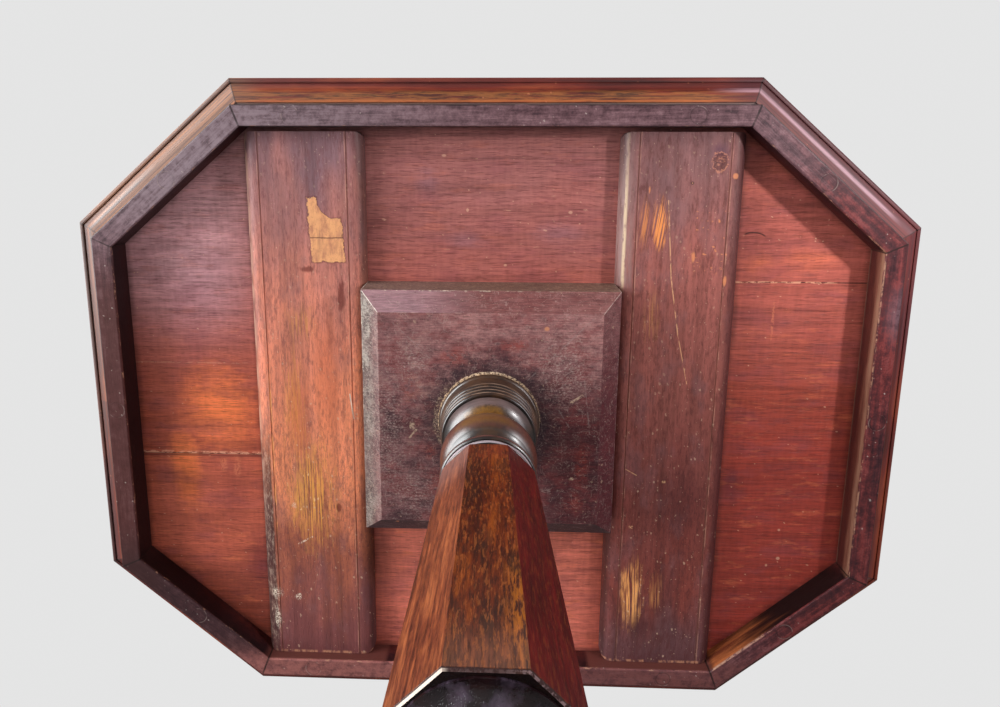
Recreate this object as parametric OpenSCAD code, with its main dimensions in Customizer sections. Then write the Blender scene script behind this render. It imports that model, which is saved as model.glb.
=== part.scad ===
// Wine table: an eight-sided top on a turned and faceted column with three legs.
// Millimetres, +Z up. The origin is on the floor under the middle of the top,
// with the front edge of the top towards -Y.

/* [Top] */
// Height of the table top above the floor
table_h = 720; // [690:5:760]
// Width of the top between its left and right edges
top_w = 504; // [470:5:560]
// Depth of the top between its front and back edges
top_d = 398.6; // [380:0.2:450]
// What each cant takes off the front and back edges
cant_x = 97.8; // [84:0.5:108]
// What each cant takes off the left and right edges
cant_y = 85.1; // [74:0.5:94]
// Thickness of the three top boards
board_t = 16; // [14:0.5:20]
// Front board joint, in front of the middle of the top
joint_front = 81; // [60:1:100]
// Back board joint, behind the middle of the top
joint_back = 35; // [20:1:80]

/* [Edge moulding] */
// Width of the moulding around the boards
mould_w = 16; // [14:0.5:20]
// How far the moulding hangs below the boards
mould_lip = 4.5; // [3:0.5:6]
// Radius of the thumb on the upper edge
thumb_r = 7.8; // [6:0.2:9]
// Depth of the step between the flat top and the thumb
thumb_step = 1.2; // [0.6:0.1:1.8]
// How far the thumb stands behind the nosing
nosing_step = 1.4; // [0.8:0.1:2]
// Radius of the nosing on the outermost edge
nosing_r = 2.2; // [1.8:0.1:2.6]
// Width of the underside of the nosing
nosing_w = 2.8; // [2.4:0.1:3.4]
// Depth of the quirk between the nosing and the sweep
nosing_quirk = 0.8; // [0.4:0.1:1.2]
// Fall of the broad sweep under the moulding
sweep_drop = 4.9; // [4:0.1:5.6]
// Bulge of the sweep beyond a straight slope
sweep_bulge = 0.6; // [0.2:0.1:1.2]
// Width of the fillet beside the lining
fillet_w = 1.8; // [1:0.1:2.4]
// How far the fillet stands back from the sweep
fillet_back = 0.6; // [0.3:0.1:1]

/* [Lining] */
// Width of the lining rails under the edge of the top
rail_w = 12; // [11.5:0.5:16]
// Depth of the lining rails
rail_h = 17; // [14:0.5:22]
// Rounding of the lower arrises of the rails
rail_round = 0.9; // [0.4:0.1:2]
// Radius of the wooden pellets over the screws
pellet_r = 5.2; // [4.6:0.1:5.5]
// Thickness of the pellets
pellet_t = 5; // [4:0.5:6]
// Distance of the front and back pellets from the middle of their rail
pellet_x = 114; // [95:1:125]

/* [Screws] */
// Radius of the screw heads
screw_head_r = 3.4; // [3:0.1:4]
// Depth of the countersunk screw heads
screw_head_h = 2.4; // [2:0.1:2.8]
// Radius of the screw shanks
screw_r = 1.7; // [1.5:0.1:2]
// Length of the screws
screw_l = 20; // [19:0.5:21]
// Width of the driver slot
slot_w = 0.9; // [0.6:0.1:1.2]
// Depth of the driver slot
slot_h = 1; // [0.6:0.1:1.4]

/* [Battens] */
// Width of the two battens
batten_w = 71; // [60:1:72]
// Thickness of the battens
batten_t = 9.5; // [8.5:0.5:13]
// Radius of the rounded long edges
batten_round = 8; // [5:0.5:8]
// Distance of the scribed line from each long edge
batten_line = 9.6; // [9.2:0.1:14]
// Width of the scribed line
line_w = 0.9; // [0.5:0.1:1.2]
// Radius of the corners in plan
batten_corner = 5; // [3:0.5:8]
// Space between the front end and the front rail
batten_gap = 2.7; // [1:0.1:6]

/* [Block] */
// Width of the square block between the battens
block_w = 149; // [140:1:155]
// Thickness of the block
block_t = 37; // [30:1:45]
// Width of the chamfer on its lower edges
chamfer_w = 11; // [6:0.5:16]
// Height of the chamfer on its lower edges
chamfer_h = 10; // [5:0.5:14]
// Place of the column, behind the middle of the top
col_y = -5; // [-8:1:8]

/* [Collars] */
// Radius of the flange against the block
flange_r = 28.8; // [28.6:0.1:32]
// Height of the flange
flange_h = 5; // [3:0.5:8]
// How far the rim of the flange is rounded
flange_round = 1.1; // [0.6:0.1:1.2]
// Height of the hollow under the flange
scotia_h = 6.5; // [4:0.5:10]
// Radius of the first fine ring
ring_r = 27.2; // [26.6:0.1:27.6]
// Radius of the last fine ring
ring_end_r = 26.1; // [25.4:0.1:26.5]
// Number of fine rings
ring_n = 4; // [3:1:6]
// Height of each fine ring
ring_h = 3.8; // [3:0.1:5]
// Rise of each fine ring
ring_rise = 0.8; // [0.4:0.1:1.2]
// Radius of the quirk between the two collars
quirk_r = 22.8; // [22:0.1:24]
// Height of the quirk
quirk_h = 1.2; // [0.8:0.1:2]
// Radius at the top of the reel
reel_r = 24.2; // [23.6:0.1:25]
// Radius at the waist of the reel
waist_r = 17.6; // [17.2:0.1:19]
// Height from the top of the reel down to its waist
waist_at = 9; // [7:0.5:11]
// Height of the reel
reel_h = 17.6; // [15:0.1:20]
// Radius of the torus
torus_r = 24.5; // [23.6:0.1:26]
// Rise of the torus above its ends
torus_rise = 3.2; // [2.4:0.1:4]
// Height of the torus
torus_h = 17; // [14:0.5:19]
// Radius at the waist of the hollow under the torus
hollow_r = 18.2; // [17.2:0.1:19]
// Height from the top of the hollow down to its waist
hollow_at = 6; // [4:0.5:8]
// Height of the hollow
hollow_h = 12.8; // [11:0.1:15]
// Radius of the bead under the hollow
bead_r = 23.2; // [22.6:0.1:24]
// Rise of the bead
bead_rise = 0.9; // [0.4:0.1:1.2]
// Height of the bead
bead_h = 3.4; // [2.6:0.1:4.2]
// Radius of the thin ring above the shaft
thin_r = 22.1; // [21.6:0.1:22.5]
// Rise of the thin ring
thin_rise = 0.7; // [0.3:0.1:1]
// Height of the thin ring
thin_h = 3.9; // [3:0.1:5]

/* [Shaft] */
// Length of the eight-sided shaft
shaft_l = 152.3; // [135:0.1:170]
// Half the width across the flats at the top
shaft_top = 21.3; // [20.8:0.1:24]
// Half the width across the flats at the bottom
shaft_bottom = 27.1; // [26.4:0.1:32]
// Bevel around the lower rim
rim_bevel = 0.9; // [0.4:0.1:2]
// Radius of the tenon through the collars and the block
tenon_r = 16; // [13:0.5:17]
// Radius of the tenon in the pedestal
stub_r = 11.5; // [9:0.5:12]
// Length of the tenon in the pedestal
stub_l = 38; // [25:1:50]
// Thickness of the wedge in the tenon
wedge_t = 2.6; // [2:0.1:4]
// Length of the wedge
wedge_l = 26; // [18:1:30]

/* [Pedestal] */
// Radius of the pedestal against the shaft
mouth_r = 25.5; // [24:0.1:26]
// Radius of the neck under it
neck_r = 18; // [17:0.1:19]
// Height of the hollow above the neck
neck_cove_h = 8; // [6:0.5:11]
// Height of the straight neck
neck_h = 3; // [2:0.5:6]
// Radius of the bead below the neck
collar_r = 21.5; // [20.5:0.1:24]
// Height of the bead below the neck
collar_h = 7; // [5:0.5:9]
// Height of the straight stretch between that bead and the vase
vase_gap = 2.5; // [1.5:0.5:4]
// Radius at the top of the vase
vase_neck_r = 17; // [16.5:0.1:19]
// Radius of the belly of the vase
vase_r = 32; // [27:0.5:36]
// Radius at the foot of the vase
vase_foot_r = 19; // [17:0.5:22]
// Place of the belly, as a share of the length of the vase
belly_at = 0.58; // [0.4:0.02:0.7]
// Radius of the torus under the vase
knop_r = 28; // [25:0.5:31]
// Height of the torus under the vase
knop_h = 11; // [8:0.5:14]
// Height of the fillets above and below that torus
fillet_h = 3; // [2:0.5:4]
// How far those fillets stand out from the foot of the vase
fillet_out = 2.5; // [1.5:0.5:3.5]
// Thickness of the lip that meets the shaft
lip_h = 1; // [0.6:0.1:1.5]
// Height of the hollow that runs out to the hub
hub_cove_h = 14; // [9:0.5:18]

/* [Hub and legs] */
// Radius of the hub that holds the legs
hub_r = 36; // [35.5:0.5:42]
// Height of the hub
hub_h = 108; // [100:1:125]
// Flat edge around the top of the hub
hub_edge = 1; // [0.5:0.1:2]
// Height of the underside of the hub above the floor
hub_z = 112; // [100:1:130]
// Radius of the turned button under the hub
button_r = 17; // [12:0.5:18]
// Height of the button
button_h = 9; // [5:0.5:12]
// Distance of the leg shoulders from the axis
shoulder = 33; // [32:0.5:33.5]
// Height of the legs at the hub
leg_root_h = 88; // [74:1:96]
// Width of the legs at the hub
leg_root_w = 25; // [21:0.5:27]
// Width of the legs at the ankle
leg_ankle_w = 17; // [14:0.5:22]
// Height of the back of the ankle above the pad
ankle_rise = 20; // [14:0.5:26]
// Thickness of the toe
toe_t = 2.2; // [1.6:0.1:3]
// Reach of each foot from the axis of the column
leg_reach = 196; // [175:1:200]
// Radius of the pad feet
pad_r = 17; // [14:0.5:20]
// Height of the pad feet
pad_h = 9; // [7:0.5:12]
// Length of the dovetails into the hub
tail_l = 12; // [9:0.5:14]
// Width of the dovetails at the shoulder
tail_w = 11; // [8:0.5:13]
// Spread of the dovetails on each side
tail_spread = 3; // [1:0.5:4]
// Height of hub left solid above the dovetails
tail_stop = 10; // [6:1:16]

/* [Fits] */
// Clearance of glued pieces that are let into each other
glue_gap = 0.1; // [0.05:0.05:0.2]
// Clearance around the screw shanks
shank_gap = 0.1; // [0.05:0.05:0.3]

/* [Hidden] */
$fn = 96;

// Sides of the top, counter-clockwise from above
FRONT_RIGHT = 0;
RIGHT = 1;
BACK_RIGHT = 2;
BACK = 3;
BACK_LEFT = 4;
LEFT = 5;
FRONT_LEFT = 6;
FRONT = 7;

// How far cutting shapes reach past the pieces that they cut
cut = 1;
// Room left under the points of the screws
pilot_room = 1;

// Levels, from the top down
z_board = table_h - board_t;
z_rail = z_board - rail_h;
z_lip = z_board - mould_lip;
z_block = z_board - block_t;
base_h = flange_h + scotia_h + ring_n * ring_h;
z_neck = z_block - base_h;
neck_collar_h = quirk_h + reel_h + torus_h + hollow_h + bead_h + thin_h;
z_shaft = z_neck - neck_collar_h;
z_rim = z_shaft - shaft_l;
z_hub = hub_z + hub_h;

// Distances inwards from the outer edge of the top
rail_in = mould_w + rail_w;
plug_in = mould_w + rail_w / 2;

// Bores for the tenons, the pellets and the screws
bore_r = tenon_r + glue_gap;
stub_bore_r = stub_r + glue_gap;
plug_bore_r = pellet_r + glue_gap / 2;
plug_bore_h = pellet_t + glue_gap;
z_screw = z_rail + plug_bore_h;

// The shape of the top: corner i of the outline drawn in by e
hx = top_w / 2;
hy = top_d / 2;
cant_l = sqrt(cant_x * cant_x + cant_y * cant_y);
draw_x = (cant_l - cant_x) / cant_y;
draw_y = (cant_l - cant_y) / cant_x;
function long_end(e) = [hx - cant_x - draw_x * e, hy - e];
function short_end(e) = [hx - e, hy - cant_y - draw_y * e];
function corner(i, e) =
    let (a = i % 8,
         p = (a == 0 || a == 3 || a == 4 || a == 7) ? long_end(e) : short_end(e),
         sx = a < 4 ? 1 : -1,
         sy = (a > 1 && a < 6) ? 1 : -1)
    [sx * p[0], sy * p[1]];
function outline(e) = [for (i = [0:7]) corner(i, e)];
function mid_side(i, e) = (corner(i, e) + corner(i + 1, e)) / 2;
function side_angle(i) =
    let (d = corner(i + 1, 0) - corner(i, 0))
    atan2(d[1], d[0]);

// Where the screws and pellets are
plugs = concat(
    [for (sx = [-1, 1], sy = [-1, 1]) [sx * pellet_x, sy * (hy - plug_in)]],
    [for (i = [FRONT_RIGHT, RIGHT, BACK_RIGHT, BACK_LEFT, LEFT, FRONT_LEFT]) mid_side(i, plug_in)]);

// Eight-sided prism, drawn in by e, between two levels
module octagon_prism(e, z0, z1) {
    translate([0, 0, z0]) linear_extrude(height = z1 - z0) polygon(outline(e));
}

// One side of a mitred frame between insets e0 and e1, and between two levels
module mitred_wedge(i, e0, e1, z0, z1) {
    translate([0, 0, z0])
        linear_extrude(height = z1 - z0)
            polygon([corner(i, e0), corner(i + 1, e0), corner(i + 1, e1), corner(i, e1)]);
}

// Runs a profile along side i: x is inwards from the outer edge, y is up from level z
module along_side(i, z) {
    m = mid_side(i, 0);
    translate([m[0], m[1], z])
        rotate([0, 0, side_angle(i)])
            rotate([90, 0, 90])
                linear_extrude(height = top_w, center = true) children();
}

// Profiles of turned pieces: x is the radius, and d runs down from the top of the piece
module band(r, d0, d1) {
    translate([0, -d1]) square([r, d1 - d0]);
}

// Band with a rounded face that rises to r at mid height
module swell(r, rise, d0, d1) {
    half = (d1 - d0) / 2;
    arc = (half * half + rise * rise) / (2 * rise);
    band(r - rise, d0, d1);
    intersection() {
        translate([r - arc, -(d0 + d1) / 2]) circle(arc);
        band(r + cut, d0, d1);
    }
}

// Hollow that runs in from r0 at the top to r1, upright at its lower end
module run_in(r0, r1, d0, d1) {
    h = d1 - d0;
    arc = ((r0 - r1) * (r0 - r1) + h * h) / (2 * (r0 - r1));
    difference() {
        band(r0, d0, d1);
        translate([r1 + arc, -d1]) circle(arc);
    }
}

// Hollow that runs out from r0 at the top to r1, upright at its upper end
module run_out(r0, r1, d0, d1) {
    h = d1 - d0;
    arc = ((r1 - r0) * (r1 - r0) + h * h) / (2 * (r1 - r0));
    difference() {
        band(r1, d0, d1);
        translate([r0 + arc, -d0]) circle(arc);
    }
}

// One of the three boards, from y0 to y1, with pilot holes for the screws
module board(y0, y1) {
    pilot_l = screw_l + z_screw - z_board + pilot_room;
    difference() {
        intersection() {
            octagon_prism(mould_w, z_board, table_h);
            translate([-top_w, y0, z_board - cut]) cube([2 * top_w, y1 - y0, board_t + 2 * cut]);
        }
        for (p = plugs) {
            if (p[1] > y0 && p[1] < y1) {
                translate([p[0], p[1], z_board - cut])
                    cylinder(h = pilot_l + cut, r = screw_r + shank_gap / 2);
            }
        }
    }
}

// Section of the edge moulding
module mould_profile() {
    low = -(board_t + mould_lip);
    thumb_y = -thumb_step - thumb_r;
    sweep_y = low + sweep_drop;
    nose_y = sweep_y - nosing_quirk + nosing_r;
    // Flat border level with the boards
    translate([nosing_step + thumb_r, thumb_y])
        square([mould_w - nosing_step - thumb_r, -thumb_y]);
    // Thumb, and the upright face under it
    intersection() {
        translate([nosing_step + thumb_r, thumb_y]) circle(thumb_r);
        translate([nosing_step, thumb_y]) square(thumb_r);
    }
    translate([nosing_step, sweep_y]) square([mould_w - nosing_step, thumb_y - sweep_y]);
    // Nosing, cut off at the quirk
    intersection() {
        translate([nosing_r, nose_y]) circle(nosing_r);
        translate([0, nose_y - nosing_r]) square([nosing_w, 2 * nosing_r]);
    }
    // Broad sweep, and the fillet beside the lining
    sweep_profile(nosing_w, mould_w - fillet_w, sweep_y, low);
    translate([mould_w - fillet_w, low + fillet_back]) square([fillet_w, sweep_drop - fillet_back]);
}

// Slope that bulges gently as it falls from x0, y0 to x1, y1
module sweep_profile(x0, x1, y0, y1) {
    chord = norm([x1 - x0, y1 - y0]);
    arc = (chord * chord / 4 + sweep_bulge * sweep_bulge) / (2 * sweep_bulge);
    middle = [x0 + x1, y0 + y1] / 2;
    inward = [y0 - y1, x1 - x0] / chord;
    intersection() {
        translate(middle + inward * (arc - sweep_bulge)) circle(arc);
        translate([x0, y1]) square([x1 - x0, y0 - y1]);
    }
}

module moulding(i) {
    intersection() {
        along_side(i, table_h) mould_profile();
        mitred_wedge(i, -cut, mould_w + cut, z_lip - cut, table_h + cut);
    }
}

// Section of the lining rails, with the lower arrises rounded
module rail_profile() {
    translate([mould_w, rail_round]) square([rail_w, rail_h - rail_round]);
    translate([mould_w + rail_round, 0]) square([rail_w - 2 * rail_round, rail_h]);
    for (x = [mould_w + rail_round, rail_in - rail_round]) {
        translate([x, rail_round]) circle(rail_round);
    }
}

// A lining rail, counterbored for pellets and drilled for countersunk screws
module rail(i) {
    difference() {
        intersection() {
            along_side(i, z_rail) rail_profile();
            mitred_wedge(i, mould_w - cut, rail_in + cut, z_rail - cut, z_board + cut);
        }
        for (p = plugs) {
            if (norm(p - mid_side(i, plug_in)) < pellet_x + rail_w) {
                translate([p[0], p[1], z_rail - cut]) cylinder(h = plug_bore_h + cut, r = plug_bore_r);
                translate([p[0], p[1], z_rail]) cylinder(h = rail_h + cut, r = screw_r + shank_gap);
                translate([p[0], p[1], z_screw])
                    cylinder(h = screw_head_h, r1 = screw_head_r + shank_gap, r2 = screw_r + shank_gap);
            }
        }
    }
}

module pellets() {
    color([0.36, 0.17, 0.11])
        for (p = plugs) {
            translate([p[0], p[1], z_rail]) cylinder(h = pellet_t, r = pellet_r);
        }
}

// Slotted countersunk wood screws, heads down
module screws() {
    point_l = 4 * screw_r;
    color([0.45, 0.43, 0.40])
        for (p = plugs) {
            translate([p[0], p[1], z_screw])
                difference() {
                    union() {
                        cylinder(h = screw_head_h, r1 = screw_head_r, r2 = screw_r);
                        cylinder(h = screw_l - point_l, r = screw_r);
                        translate([0, 0, screw_l - point_l])
                            cylinder(h = point_l, r1 = screw_r, r2 = screw_r / 8);
                    }
                    translate([-screw_head_r - cut, -slot_w / 2, -cut])
                        cube([2 * screw_head_r + 2 * cut, slot_w, slot_h + cut]);
                }
        }
}

// Section of a batten: flat top against the boards, rounded lower edges, two scribed lines
module batten_profile() {
    w = batten_w / 2;
    difference() {
        union() {
            translate([-w + batten_round, -batten_t]) square([batten_w - 2 * batten_round, batten_t]);
            translate([-w, -batten_t + batten_round]) square([batten_w, batten_t - batten_round]);
            for (s = [-1, 1]) {
                translate([s * (w - batten_round), -batten_t + batten_round]) circle(batten_round);
            }
        }
        for (s = [-1, 1]) {
            translate([s * (w - batten_line), -batten_t]) circle(line_w / 2);
        }
        translate([-w - cut, 0]) square([batten_w + 2 * cut, batten_round + cut]);
    }
}

// Outline of a batten in plan, with rounded corners
module batten_plan(l) {
    w = batten_w / 2;
    c = batten_corner;
    translate([-w + c, 0]) square([batten_w - 2 * c, l]);
    translate([-w, c]) square([batten_w, l - 2 * c]);
    for (x = [-w + c, w - c], y = [c, l - c]) {
        translate([x, y]) circle(c);
    }
}

// Batten on side s of the block
module batten(s) {
    x = s * (block_w / 2 + glue_gap + batten_w / 2);
    y0 = -hy + rail_in + batten_gap;
    y1 = hy - rail_in - glue_gap;
    color([0.38, 0.17, 0.13])
        intersection() {
            translate([x, y0, z_board])
                rotate([90, 0, 0])
                    translate([0, 0, -(y1 - y0) - cut])
                        linear_extrude(height = y1 - y0 + 2 * cut) batten_profile();
            translate([x, y0, z_board - batten_t - cut])
                linear_extrude(height = batten_t + 2 * cut) batten_plan(y1 - y0);
            octagon_prism(rail_in + glue_gap / 2, z_board - batten_t - 2 * cut, z_board + 2 * cut);
        }
}

// Section of the block: upright sides, then a chamfer to the lower face
module block_profile() {
    w = block_w / 2;
    polygon([[-w, 0], [-w, -block_t + chamfer_h], [-w + chamfer_w, -block_t],
             [w - chamfer_w, -block_t], [w, -block_t + chamfer_h], [w, 0]]);
}

module block() {
    color([0.42, 0.25, 0.24])
        translate([0, col_y, z_board])
            difference() {
                intersection() {
                    rotate([90, 0, 0])
                        linear_extrude(height = block_w, center = true) block_profile();
                    rotate([90, 0, 90])
                        linear_extrude(height = block_w, center = true) block_profile();
                }
                translate([0, 0, -block_t - cut]) cylinder(h = block_t + 2 * cut, r = bore_r);
            }
}

// Upper collar, against the block
module base_collar() {
    rings_d = flange_h + scotia_h;
    color([0.40, 0.20, 0.09])
        translate([0, col_y, z_block])
            rotate_extrude()
                difference() {
                    union() {
                        swell(flange_r, flange_round, 0, flange_h);
                        run_in(flange_r - flange_round, ring_r - ring_rise, flange_h, rings_d);
                        for (i = [0:ring_n - 1]) {
                            swell(ring_r + (ring_end_r - ring_r) * i / (ring_n - 1), ring_rise,
                                  rings_d + i * ring_h, rings_d + (i + 1) * ring_h);
                        }
                    }
                    band(bore_r, -cut, base_h + cut);
                }
}

// Lower collar: quirk, reel, torus, hollow, bead and thin ring
module neck_collar() {
    d_torus = quirk_h + reel_h;
    d_hollow = d_torus + torus_h;
    d_bead = d_hollow + hollow_h;
    torus_end = torus_r - torus_rise;
    color([0.36, 0.17, 0.08])
        translate([0, col_y, z_neck])
            rotate_extrude()
                difference() {
                    union() {
                        band(quirk_r, 0, quirk_h);
                        run_in(reel_r, waist_r, quirk_h, quirk_h + waist_at);
                        run_out(waist_r, torus_end, quirk_h + waist_at, d_torus);
                        swell(torus_r, torus_rise, d_torus, d_hollow);
                        run_in(torus_end, hollow_r, d_hollow, d_hollow + hollow_at);
                        run_out(hollow_r, bead_r - bead_rise, d_hollow + hollow_at, d_bead);
                        swell(bead_r, bead_rise, d_bead, d_bead + bead_h);
                        swell(thin_r, thin_rise, d_bead + bead_h, neck_collar_h);
                    }
                    band(bore_r, -cut, neck_collar_h + cut);
                }
}

// Tapered section of the wedge, grown by g and carried up by g above the end of the tenon
module wedge_profile(g) {
    t = wedge_t / 2 + g;
    polygon([[-t, 0], [-t, g], [t, g], [t, 0], [t / 2, -wedge_l - g], [-t / 2, -wedge_l - g]]);
}

module tenon_wedge() {
    color([0.50, 0.32, 0.16])
        translate([0, col_y, z_board - glue_gap])
            intersection() {
                rotate([90, 0, 0])
                    linear_extrude(height = 3 * tenon_r, center = true) wedge_profile(0);
                translate([0, 0, -wedge_l]) cylinder(h = wedge_l, r = tenon_r);
            }
}

// Section across the flats of the shaft, with the lower rim bevelled
module shaft_profile() {
    t = shaft_top;
    b = shaft_bottom;
    polygon([[-t, 0], [-b, -shaft_l + rim_bevel], [-b + rim_bevel, -shaft_l],
             [b - rim_bevel, -shaft_l], [b, -shaft_l + rim_bevel], [t, 0]]);
}

// Eight-sided shaft between turned ends, with the wedged tenon above it
module shaft() {
    reach = 2 * shaft_bottom;
    tenon_l = z_board - glue_gap - z_shaft;
    color([0.55, 0.27, 0.13])
        translate([0, col_y, z_shaft])
            difference() {
                union() {
                    intersection() {
                        intersection_for (a = [0:45:135]) {
                            rotate([90, 0, a])
                                linear_extrude(height = 2 * reach, center = true) shaft_profile();
                        }
                        turned_end();
                    }
                    translate([0, 0, -cut]) cylinder(h = tenon_l + cut, r = tenon_r);
                    translate([0, 0, -shaft_l - stub_l]) cylinder(h = stub_l + cut, r = stub_r);
                }
                translate([0, 0, tenon_l])
                    rotate([90, 0, 0])
                        linear_extrude(height = 3 * tenon_r, center = true)
                            wedge_profile(glue_gap / 2);
            }
}

// Cone that turns the corners of the shaft away under the collar
module turned_end() {
    translate([0, 0, -shaft_l]) cylinder(h = shaft_l, r1 = thin_r + shaft_l, r2 = thin_r);
}

// Half section of the vase: two smooth swells between the neck, the belly and the foot
function ease(t) = (1 - cos(180 * t)) / 2;
function vase_at(t) =
    t < belly_at
        ? vase_neck_r + (vase_r - vase_neck_r) * ease(t / belly_at)
        : vase_r + (vase_foot_r - vase_r) * ease((t - belly_at) / (1 - belly_at));
module vase(d0, d1) {
    steps = 36;
    polygon(concat([[0, -d0], [0, -d1]],
                   [for (i = [steps:-1:0]) [vase_at(i / steps), -d0 - (d1 - d0) * i / steps]]));
}

// Dovetail in plan, out from the shoulder of a leg towards the axis, grown by g
module tail_plan(g) {
    w = tail_w / 2 + g;
    polygon([[shoulder + cut, -w], [shoulder, -w], [shoulder - tail_l - g, -w - tail_spread],
             [shoulder - tail_l - g, w + tail_spread], [shoulder, w], [shoulder + cut, w]]);
}

// Places its children at the three legs: behind, front left and front right
module at_leg(i) {
    translate([0, col_y, 0]) rotate([0, 0, 90 + 120 * i]) children();
}

// Turned lower column with the hub, bored for the shaft and cut for the legs
module pedestal() {
    d_neck = neck_cove_h + lip_h;
    d_collar = d_neck + neck_h;
    d_vase = d_collar + collar_h + vase_gap;
    d_hub = z_rim - z_hub;
    d_cove = d_hub - hub_cove_h;
    d_knop = d_cove - knop_h - fillet_h;
    neck_foot_r = vase_foot_r + fillet_out;
    d_foot = z_rim - hub_z;
    tail_top = hub_z + leg_root_h - tail_stop + glue_gap;
    color([0.40, 0.18, 0.10])
        difference() {
            translate([0, col_y, z_rim])
                rotate_extrude()
                    difference() {
                        union() {
                            band(mouth_r, 0, lip_h);
                            run_in(mouth_r, neck_r, lip_h, d_neck);
                            band(neck_r, d_neck, d_vase);
                            swell(collar_r, collar_h / 2, d_collar, d_collar + collar_h);
                            vase(d_vase, d_knop - fillet_h);
                            band(neck_foot_r, d_knop - fillet_h, d_knop);
                            swell(knop_r, knop_h / 2, d_knop, d_knop + knop_h);
                            band(neck_foot_r, d_knop, d_cove);
                            run_out(neck_foot_r, hub_r - hub_edge, d_cove, d_hub);
                            band(hub_r, d_hub, d_foot);
                            swell(button_r, button_h / 3, d_foot, d_foot + button_h);
                        }
                        band(stub_bore_r, -cut, stub_l + cut);
                    }
            for (i = [0:2]) {
                at_leg(i) {
                    // Flat seat for the shoulder of the leg
                    translate([shoulder, -leg_root_w, hub_z - cut])
                        cube([hub_r, 2 * leg_root_w, leg_root_h + cut]);
                    // Dovetail socket, open below
                    translate([0, 0, hub_z - cut])
                        linear_extrude(height = tail_top - hub_z + cut) tail_plan(glue_gap);
                }
            }
        }
}

// Upper and lower lines of a leg in the plane of its length, as cubic curves
function cubic(p, t) =
    (1 - t) * (1 - t) * (1 - t) * p[0] + 3 * (1 - t) * (1 - t) * t * p[1]
    + 3 * (1 - t) * t * t * p[2] + t * t * t * p[3];
leg_run = leg_reach - shoulder;
function leg_at(share, z) = [shoulder + share * leg_run, z];
back_line = [leg_at(0, hub_z + leg_root_h), leg_at(0.36, hub_z + leg_root_h),
             leg_at(0.45, pad_h + ankle_rise),
             [leg_reach - pad_r / 4, pad_h + toe_t / 2]];
belly_line = [leg_at(0, hub_z), leg_at(0.26, hub_z), leg_at(0.36, pad_h / 3),
              [leg_reach - pad_r / 2, pad_h - toe_t / 2]];

// Width of a leg: full at the hub, waisted at the ankle, and drawn in at the toe
ankle_at = 0.8;
toe_draw = 0.45;
function leg_w(t) =
    leg_root_w + (leg_ankle_w - leg_root_w) * ease(min(1, t / ankle_at))
    - leg_ankle_w * toe_draw * pow(max(0, (t - ankle_at) / (1 - ankle_at)), 2);

// Rounded section across a leg, squarer at the hub where it seats
leg_sides = 24;
leg_rings = 30;
root_square = 5;
shin_square = 2.8;
function squarish(v, n) = sign(v) * pow(abs(v), 2 / n);
function leg_ring(t) =
    let (u = cubic(back_line, t),
         l = cubic(belly_line, t),
         m = (u + l) / 2,
         h = (u - l) / 2,
         w = leg_w(t) / 2,
         n = root_square + (shin_square - root_square) * ease(min(1, 2 * t)))
    [for (k = [0:leg_sides - 1])
        let (a = 360 * (k + 0.5) / leg_sides,
             x = squarish(cos(a), n) * w,
             y = squarish(sin(a), n))
        [m[0] + h[0] * y, x, m[1] + h[1] * y]];

module leg_body() {
    rings = [for (i = [0:leg_rings]) leg_ring(i / leg_rings)];
    last = leg_rings * leg_sides;
    points = concat([for (r = rings) each r],
                    [[shoulder, 0, hub_z + leg_root_h / 2], cubic((back_line + belly_line) / 2, 1)]);
    function at_ring(i, k) = i * leg_sides + k % leg_sides;
    faces = concat(
        [for (i = [0:leg_rings - 1], k = [0:leg_sides - 1])
            [at_ring(i, k), at_ring(i + 1, k), at_ring(i, k + 1)]],
        [for (i = [0:leg_rings - 1], k = [0:leg_sides - 1])
            [at_ring(i, k + 1), at_ring(i + 1, k), at_ring(i + 1, k + 1)]],
        [for (k = [0:leg_sides - 1]) [last + leg_sides, k, (k + 1) % leg_sides]],
        [for (k = [0:leg_sides - 1]) [last + leg_sides + 1, last + (k + 1) % leg_sides, last + k]]);
    polyhedron(points = points, faces = faces, convexity = 4);
}

// Swept leg with a dovetail at the hub and a turned pad under the toe
module leg(i) {
    color([0.37, 0.16, 0.09])
        at_leg(i) {
            leg_body();
            translate([0, 0, hub_z])
                linear_extrude(height = leg_root_h - tail_stop)
                    tail_plan(0);
            translate([leg_reach - pad_r, 0, pad_h])
                rotate_extrude() swell(pad_r, pad_h / 4, 0, pad_h);
        }
}

module board_front() {
    color([0.45, 0.16, 0.10]) board(-hy, -joint_front);
}

module board_middle() {
    color([0.46, 0.17, 0.11]) board(-joint_front, joint_back);
}

module board_back() {
    color([0.44, 0.15, 0.10]) board(joint_back, hy);
}

module moulding_front() {
    color([0.52, 0.22, 0.11]) moulding(FRONT);
}

module moulding_front_right() {
    color([0.52, 0.22, 0.11]) moulding(FRONT_RIGHT);
}

module moulding_right() {
    color([0.52, 0.22, 0.11]) moulding(RIGHT);
}

module moulding_back_right() {
    color([0.52, 0.22, 0.11]) moulding(BACK_RIGHT);
}

module moulding_back() {
    color([0.52, 0.22, 0.11]) moulding(BACK);
}

module moulding_back_left() {
    color([0.52, 0.22, 0.11]) moulding(BACK_LEFT);
}

module moulding_left() {
    color([0.52, 0.22, 0.11]) moulding(LEFT);
}

module moulding_front_left() {
    color([0.52, 0.22, 0.11]) moulding(FRONT_LEFT);
}

module rail_front() {
    color([0.36, 0.17, 0.15]) rail(FRONT);
}

module rail_front_right() {
    color([0.36, 0.17, 0.15]) rail(FRONT_RIGHT);
}

module rail_right() {
    color([0.36, 0.17, 0.15]) rail(RIGHT);
}

module rail_back_right() {
    color([0.36, 0.17, 0.15]) rail(BACK_RIGHT);
}

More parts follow.
